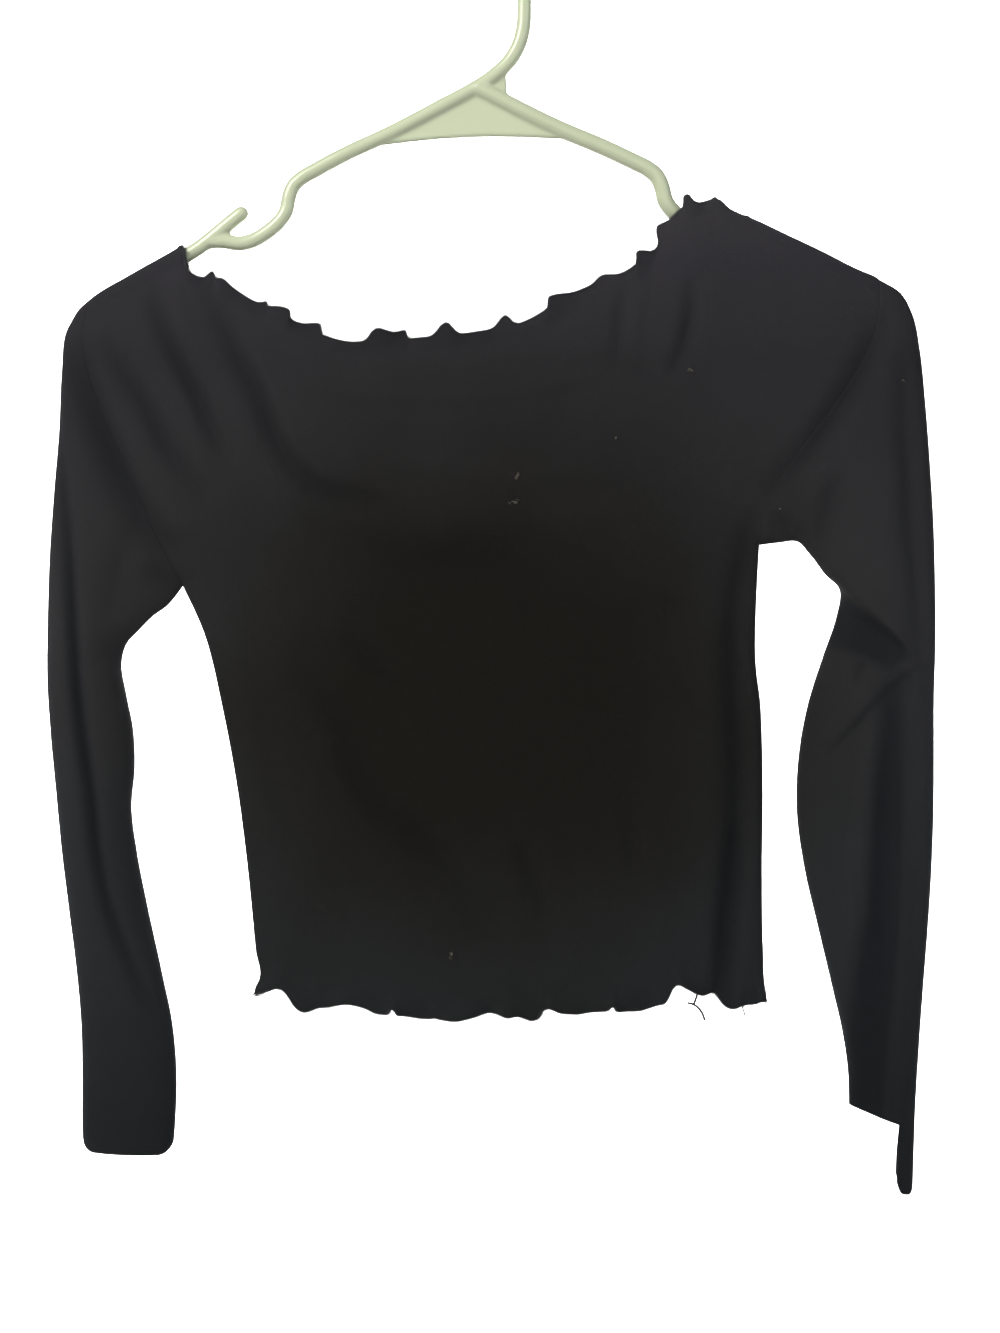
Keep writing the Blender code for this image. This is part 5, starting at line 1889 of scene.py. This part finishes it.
@dataclass
class OverlockStitching:
    """Thread wraps along a lettuce edge, laid by Geometry Nodes."""

    pitch: float = 0.95
    wrap_radius: float = 1.02
    thread_radius: float = 0.19
    slant: float = math.radians(24.0)
    uneven: float = math.radians(9.0)
    seed: int = 7
    wrap_sides: int = 9
    thread_sides: int = 3
    tree: NodeTree = field(init=False, repr=False)

    def __post_init__(self) -> None:
        """Build the node tree."""
        self.tree = bpy.data.node_groups.new("overlock_wraps", "GeometryNodeTree")
        sockets = (
            ("Geometry", "OUTPUT", "Geometry"), ("Geometry", "INPUT", "Geometry"),
            ("Pitch", "INPUT", "Float"), ("Wrap Radius", "INPUT", "Float"),
            ("Thread Radius", "INPUT", "Float"), ("Slant", "INPUT", "Float"),
            ("Uneven", "INPUT", "Float"), ("Seed", "INPUT", "Int"),
            ("Thread", "INPUT", "Material"),
        )
        for name, way, kind in sockets:
            self.tree.interface.new_socket(name, in_out=way, socket_type="NodeSocket" + kind)
        sketch = NodeSketch(self.tree)
        given = sketch.add("NodeGroupInput").outputs
        line = sketch.add("GeometryNodeMeshToCurve", {"Mesh": given["Geometry"]})
        spaced = sketch.add("GeometryNodeResampleCurve", {
            "Curve": line.outputs["Curve"], "Length": given["Pitch"]}, mode="LENGTH")
        loop, strand = (
            sketch.add("GeometryNodeCurvePrimitiveCircle", {
                "Resolution": sides, "Radius": given[radius]}).outputs["Curve"]
            for sides, radius in ((self.wrap_sides, "Wrap Radius"),
                                  (self.thread_sides, "Thread Radius")))
        wrap = sketch.add("GeometryNodeCurveToMesh", {"Curve": loop, "Profile Curve": strand})
        tangent = sketch.add("GeometryNodeInputTangent")
        aim = sketch.add("FunctionNodeAlignRotationToVector", {"Vector": tangent.outputs[0]},
                         axis="Z")
        low, high = (
            sketch.add("ShaderNodeMath", {0: given["Slant"], 1: given["Uneven"]},
                       operation=operation).outputs[0]
            for operation in ("SUBTRACT", "ADD"))
        chance = sketch.add("FunctionNodeRandomValue", {2: low, 3: high, "Seed": given["Seed"]},
                            data_type="FLOAT")
        angles = sketch.add("ShaderNodeCombineXYZ", {0: chance.outputs[1]})
        tilt = sketch.add("FunctionNodeEulerToRotation", {0: angles.outputs[0]})
        turned = sketch.add("FunctionNodeRotateRotation", {
            0: aim.outputs[0], 1: tilt.outputs[0]}, rotation_space="LOCAL")
        wraps = sketch.add("GeometryNodeInstanceOnPoints", {
            "Points": spaced.outputs["Curve"], "Instance": wrap.outputs["Mesh"],
            "Rotation": turned.outputs[0]})
        real = sketch.add("GeometryNodeRealizeInstances", {0: wraps.outputs[0]})
        coat = sketch.add("GeometryNodeSetMaterial", {
            "Geometry": real.outputs[0], "Material": given["Thread"]})
        sketch.add("NodeGroupOutput", {0: coat.outputs[0]})

    def sew(self, name: str, edges: Sequence[Array], thread: Material) -> Object:
        """Wrap thread round lettuce edges.

        Args:
            name: the piece's name.
            edges: the line of each edge, in millimetres.
            thread: the thread's finish.

        Returns:
            The wraps as one plain mesh.
        """
        vertices, joins, start = [], [], 0
        for edge in edges:
            vertices += (edge * MM).tolist()
            joins += [(start + k, start + k + 1) for k in range(len(edge) - 1)]
            start += len(edge)
        base = bpy.data.meshes.new(name + "_line")
        base.from_pydata(vertices, joins, [])
        carrier = link(name + "_line", base, thread)
        modifier = carrier.modifiers.new("wraps", "NODES")
        modifier.node_group = self.tree
        values = {
            "Pitch": self.pitch * MM,
            "Wrap Radius": self.wrap_radius * MM,
            "Thread Radius": self.thread_radius * MM,
            "Slant": self.slant,
            "Uneven": self.uneven,
            "Seed": self.seed,
            "Thread": thread,
        }
        for item in self.tree.interface.items_tree:
            if item.in_out == "INPUT" and item.name in values:
                modifier[item.identifier] = values[item.name]
        return link(name, applied(carrier), thread)


@dataclass(frozen=True)
class LooseThread:
    """A loose end of thread at the hem or the neckline."""

    path: tuple[tuple[float, float, float], ...]
    radius: float


@dataclass(frozen=True)
class Speck:
    """A bit of lint on the front."""

    x: float
    z: float
    length: float
    width: float
    turn: float


@dataclass
class LooseBits:
    """Loose threads at the edges and lint on the front."""

    threads: tuple[LooseThread, ...] = (
        LooseThread(((115.9, -6.2, -579.0), (118.4, -6.2, -579.5), (121.3, -6.5, -581.3),
                     (123.6, -7.0, -584.4), (124.9, -7.0, -588.0)), 0.66),
        LooseThread(((121.0, -2.0, -570.5), (121.0, -5.0, -574.5), (119.2, -6.2, -579.7)), 0.64),
        LooseThread(((-149.4, -1.0, -192.6), (-147.6, -2.5, -190.2), (-145.4, -3.0, -188.4)),
                    0.30),
        LooseThread(((144.5, -2.0, -578.0), (145.2, -5.0, -582.0), (146.4, -5.5, -586.0)), 0.42),
    )
    specks: tuple[Speck, ...] = rows_of(
        Speck,
        (24.3, -316.0, 5.0, 1.6, 0.1), (25.8, -302.4, 3.4, 0.6, 1.15),
        (116.6, -246.7, 3.4, 1.4, -0.3), (77.4, -282.2, 1.6, 0.6, 1.2),
        (-8.3, -552.0, 3.0, 0.6, 1.3), (164.4, -318.6, 1.0, 0.7, 0.2),
        (229.2, -250.9, 1.2, 0.8, -0.6),
    )
    thread_sides: int = 6
    thread_pitch: float = 0.8
    hairs_per_mm: float = 4.0
    least_hairs: int = 6
    hair_radius: float = 0.10
    hair_sides: int = 4
    hair_points: int = 5
    hair_shares: tuple[float, float] = (0.4, 1.0)
    longest_hair: float = 2.0
    spread: float = 0.24
    stand_off: float = 0.45
    stand_off_spread: float = 0.25
    turn_spread: float = 0.7
    bend: float = 0.5
    arch: float = 0.1
    sleeve_from: float = 160.0
    seed: int = 11

    def surface_y(self, panel: Panel, x: float, z: float) -> float:
        """Find how deep the cloth lies.

        Args:
            panel: the panel.
            x: the place across.
            z: its height.

        Returns:
            The depth of the middle of the cloth there.
        """
        points = panel.points.reshape(-1, 3)
        nearest = np.argmin(np.hypot(points[:, 0] - x, points[:, 2] - z))
        return float(points[nearest, 1])

    def build_threads(self, thread: Material) -> Object:
        """Lay the loose threads.

        Args:
            thread: their finish.

        Returns:
            The threads as one mesh.
        """
        plan = bmesh.new()
        for loose in self.threads:
            path = [Vector(point) for point in sampled(loose.path, self.thread_pitch)]
            add_tube(plan, rings_along(path, loose.radius), self.thread_sides)
        return cast("loose_threads", plan, thread)

    def build_lint(self, panels: dict[str, Panel], lint: Material) -> Object:
        """Scatter short curly fibres at each speck.

        Args:
            panels: the top's panels, on whose fronts the specks lie.
            lint: their finish.

        Returns:
            The specks as one mesh.
        """
        chance = np.random.default_rng(self.seed)
        plan = bmesh.new()
        steps = np.linspace(-1.0, 1.0, self.hair_points)
        bulge = 1.0 - steps ** 2
        for speck in self.specks:
            panel = panels["sleeve_right" if speck.x > self.sleeve_from else "front"]
            cos, sin = math.cos(speck.turn), math.sin(speck.turn)
            sizes = (self.spread * speck.length, self.spread * speck.width)
            for _ in range(max(self.least_hairs, round(speck.length * self.hairs_per_mm))):
                along, across = chance.normal(0.0, sizes)
                x = speck.x + along * cos - across * sin
                z = speck.z + along * sin + across * cos
                y = self.surface_y(panel, x, z) - self.stand_off
                y -= abs(chance.normal(0.0, self.stand_off_spread))
                angle = speck.turn + chance.normal(0.0, self.turn_spread)
                whole = min(speck.length, self.longest_hair)
                half = 0.5 * whole * chance.uniform(*self.hair_shares)
                bent = chance.normal(0.0, self.bend * half) * bulge
                path = [Vector(point) for point in np.column_stack((
                    x + half * steps * math.cos(angle) - bent * math.sin(angle),
                    y - self.arch * bulge,
                    z + half * steps * math.sin(angle) + bent * math.cos(angle),
                ))]
                add_tube(plan, rings_along(path, self.hair_radius), self.hair_sides)
        return cast("lint_specks", plan, lint)


# --- The hanger -----------------------------------------------------------------------------
@dataclass
class Hanger:
    """One moulding: hook, arms, strap notches, gusset webs and bottom bar."""

    lines: HangerLines
    sides: int = 20
    web_thickness: float = 2.6
    lip_radius: float = 1.7
    right_arm_radius: float = 4.5
    voxel: float = 0.85
    soften: int = 6
    soften_factor: float = 0.5
    dome: tuple[float, ...] = (20.0, 40.0, 58.0, 74.0)

    def tube(self, plan: bmesh.types.BMesh, line: Array, radius: float) -> None:
        """Add a round tube with domed ends.

        Args:
            plan: the mesh to add to.
            line: its centre line in the plane of the hanger.
            radius: its radius.
        """
        rings = rings_along([Vector((x, 0.0, z)) for x, z in line], radius)
        (start, back, _), (end, ahead, _) = rings[0], rings[-1]
        for angle in np.radians(self.dome):
            reach, size = radius * math.sin(angle), radius * math.cos(angle)
            rings.insert(0, (start - back * reach, back, size))
            rings.append((end + ahead * reach, ahead, size))
        add_tube(plan, rings, self.sides)

    def plate(self, plan: bmesh.types.BMesh, outline: Array) -> None:
        """Add a flat web.

        Args:
            plan: the mesh to add to.
            outline: its outline in the plane of the hanger.
        """
        half = Vector((0.0, self.web_thickness / 2.0, 0.0))
        near, far = ([plan.verts.new((Vector((x, 0.0, z)) + side) * MM) for x, z in outline]
                     for side in (-half, half))
        plan.faces.new(near)
        plan.faces.new(far[::-1])
        for k in range(len(outline)):
            after = (k + 1) % len(outline)
            plan.faces.new((near[after], near[k], far[k], far[after]))

    def build(self, plastic: Material) -> Object:
        """Mould the hanger.

        Args:
            plastic: its finish.

        Returns:
            The hanger as one closed mesh with soft joins.
        """
        plan = bmesh.new()
        for line in (self.lines.rail(), self.lines.hook()):
            self.tube(plan, line, self.lines.tube_radius)
        self.tube(plan, self.lines.right_arm(), self.right_arm_radius)
        self.tube(plan, self.lines.lip(), self.lip_radius)
        for outline in (self.lines.lower_web, self.lines.upper_web):
            self.plate(plan, self.lines.web(outline))
        hanger = cast("moulded_hanger_plan", plan, plastic)
        remesh = hanger.modifiers.new("remesh", "REMESH")
        remesh.mode = "VOXEL"
        remesh.voxel_size = self.voxel * MM
        even = hanger.modifiers.new("even", "SMOOTH")
        even.factor = self.soften_factor
        even.iterations = self.soften
        mesh = applied(hanger)
        # Painted shade: the under attribute is how much each point faces down.
        normals = np.zeros(3 * len(mesh.vertices))
        mesh.vertex_normals.foreach_get("vector", normals)
        under = mesh.attributes.new("under", "FLOAT", "POINT")
        under.data.foreach_set("value", np.clip(-normals[2::3], 0.0, 1.0))
        return link("moulded_hanger", mesh, plastic)


# --- Studio ---------------------------------------------------------------------------------
@dataclass(frozen=True)
class SoftLight:
    """A rectangular soft light, aimed at the middle of the top unless it has its own aim."""

    name: str
    place: tuple[float, float, float]
    width: float
    height: float
    watts: float
    colour: tuple[float, float, float]
    spread: float = math.pi
    aim: tuple[float, float, float] | None = None


@dataclass(frozen=True)
class Studio:
    """Pale room, soft lights and the camera."""

    aim: tuple[float, float, float] = (0.017, 0.0, -0.4016)
    distance: float = 1.2
    seen_height: float = 0.7065
    sensor: float = 36.0
    clip: tuple[float, float] = (0.05, 20.0)
    floor_z: float = -1.0
    wall_y: float = 2.5
    cove: float = 0.8
    cove_points: int = 13
    half_width: float = 4.5
    front_y: float = -3.0
    top_z: float = 3.0
    world_colour: Colour = (0.96, 0.98, 1.0, 1.0)
    world_strength: float = 0.24
    lights: tuple[SoftLight, ...] = (
        SoftLight("key", (-1.0, -1.15, 0.72), 0.9, 0.7, 30.0, (1.0, 0.985, 0.96)),
        SoftLight("fill", (1.4, -1.3, 0.0), 1.0, 1.2, 8.0, (0.90, 0.95, 1.0)),
        SoftLight("wall_wash", (0.0, 1.1, 2.0), 3.6, 0.8, 180.0, (1.0, 1.0, 1.0),
                  math.radians(84.0), (0.0, 2.5, -0.4)),
    )

    def build_stage(self) -> Object:
        """Sweep the floor up into the wall, with a round cove between them.

        Returns:
            The sheet of pale paper.
        """
        y, z = self.wall_y - self.cove, self.floor_z + self.cove
        turn = np.linspace(-math.pi / 2.0, 0.0, self.cove_points)
        profile = [(self.front_y, self.floor_z)]
        profile += [(y + self.cove * math.cos(angle), z + self.cove * math.sin(angle))
                    for angle in turn]
        profile.append((self.wall_y, self.top_z))
        vertices, faces = [], []
        for y, z in profile:
            vertices += [(-self.half_width, y, z), (self.half_width, y, z)]
        for k in range(0, 2 * len(profile) - 2, 2):
            faces.append((k, k + 1, k + 3, k + 2))
        mesh = bpy.data.meshes.new("paper_sweep")
        mesh.from_pydata(vertices, [], faces)
        return link("paper_sweep", mesh, PALE_PAPER.build())

    def build_lights(self) -> None:
        """Add the soft lights and the pale surroundings."""
        for light in self.lights:
            data = bpy.data.lights.new(light.name, "AREA")
            data.shape = "RECTANGLE"
            data.size, data.size_y = light.width, light.height
            data.energy = light.watts
            data.color = light.colour
            data.spread = light.spread
            item = bpy.data.objects.new(light.name, data)
            item.location = light.place
            ahead = Vector(light.aim or self.aim) - item.location
            item.rotation_euler = ahead.to_track_quat("-Z", "Y").to_euler()
            bpy.context.scene.collection.objects.link(item)
        world = bpy.data.worlds.new("pale_room")
        world.use_nodes = True
        room = world.node_tree.nodes["Background"]
        room.inputs["Color"].default_value = self.world_colour
        room.inputs["Strength"].default_value = self.world_strength
        bpy.context.scene.world = world

    def build_camera(self) -> None:
        """Add the level camera."""
        data = bpy.data.cameras.new("camera")
        data.sensor_fit = "VERTICAL"
        data.sensor_height = self.sensor
        data.lens = self.sensor * self.distance / self.seen_height
        data.clip_start, data.clip_end = self.clip
        item = bpy.data.objects.new("camera", data)
        item.location = (self.aim[0], self.aim[1] - self.distance, self.aim[2])
        item.rotation_euler = (math.pi / 2.0, 0.0, 0.0)
        bpy.context.scene.collection.objects.link(item)
        bpy.context.scene.camera = item
        bpy.context.scene.view_settings.view_transform = "Standard"


# --- The whole scene ------------------------------------------------------------------------
@dataclass(frozen=True)
class FlatCut:
    """The flat size of a cut panel: a sleeve's width is all round it."""

    width: float
    length: float
    area: float


FLAT_CUTS = {
    "front": FlatCut(0.45, 0.44, 0.125),
    "back": FlatCut(0.45, 0.44, 0.121),
    "sleeve_left": FlatCut(0.30, 0.49, 0.055),
    "sleeve_right": FlatCut(0.30, 0.49, 0.055),
}


def write_sizes(key: str) -> None:
    """Args:
        key: the name that they are written under.
    """
    sizes = {}
    if key != "cad":
        with open(SIZE_FILE, encoding="utf-8") as written:
            sizes = json.load(written)
    low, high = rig.bounds()
    sizes[key] = {"low_m": [round(float(x), 5) for x in low],
                  "high_m": [round(float(x), 5) for x in high]}
    with open(SIZE_FILE, "w", encoding="utf-8") as written:
        json.dump(sizes, written, indent=1)


def dress(item: Object, slot: Slot, *nodes: str) -> None:
    """Let a piece ride on the body and stand for CAD nodes.

    Args:
        item: the piece.
        slot: the material slot it takes its finish from.
        nodes: the nodes it replaces.
    """
    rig.ride(item, "root")
    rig.slot(item, slot.value)
    if nodes:
        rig.replaces(item, *nodes)
    LOG.info("%s: %d faces", item.name, len(item.data.polygons))


def main() -> None:
    """Build the top, its hanger and the room."""
    logging.basicConfig(level=logging.INFO, format="%(name)s: %(message)s")
    write_sizes("cad")
    lines = HangerLines()
    thread = SEWING_THREAD.build()

    top = JerseyTop(ClothForm(lines))
    panels = top.build(JerseyKnit().build())
    for name, item in panels.items():
        dress(item, Slot.JERSEY, name)
        LOG.info("%s: %.4f square metres", name, top.panels[name].area())

    edges = top.lettuce_edges()
    stitching = OverlockStitching()
    sewn = {
        name: stitching.sew(name + "_overlock", [edges[name + "_neckline"], edges[name + "_hem"]],
                            thread)
        for name in ("front", "back")
    }
    bits = LooseBits()
    loose = bits.build_threads(LOOSE_THREAD.build())
    specks = bits.build_lint(top.panels, PALE_LINT.build())
    for item in (*sewn.values(), loose, specks):
        dress(item, Slot.JERSEY)

    extras = {"front": [sewn["front"], loose], "back": [sewn["back"]]}
    for name, cut in FLAT_CUTS.items():
        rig.sheet(panels[name], flat=(cut.width, cut.length), held="hung", rests_on=["hanger"],
                 area=cut.area, with_pieces=extras.get(name, []))

    dress(Hanger(lines).build(MouldedPlastic().build()), Slot.HANGER, "hanger")

    studio = Studio()
    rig.stage(studio.build_stage())
    studio.build_lights()
    studio.build_camera()
    write_sizes("visual")


if __name__ == "__main__":
    main()
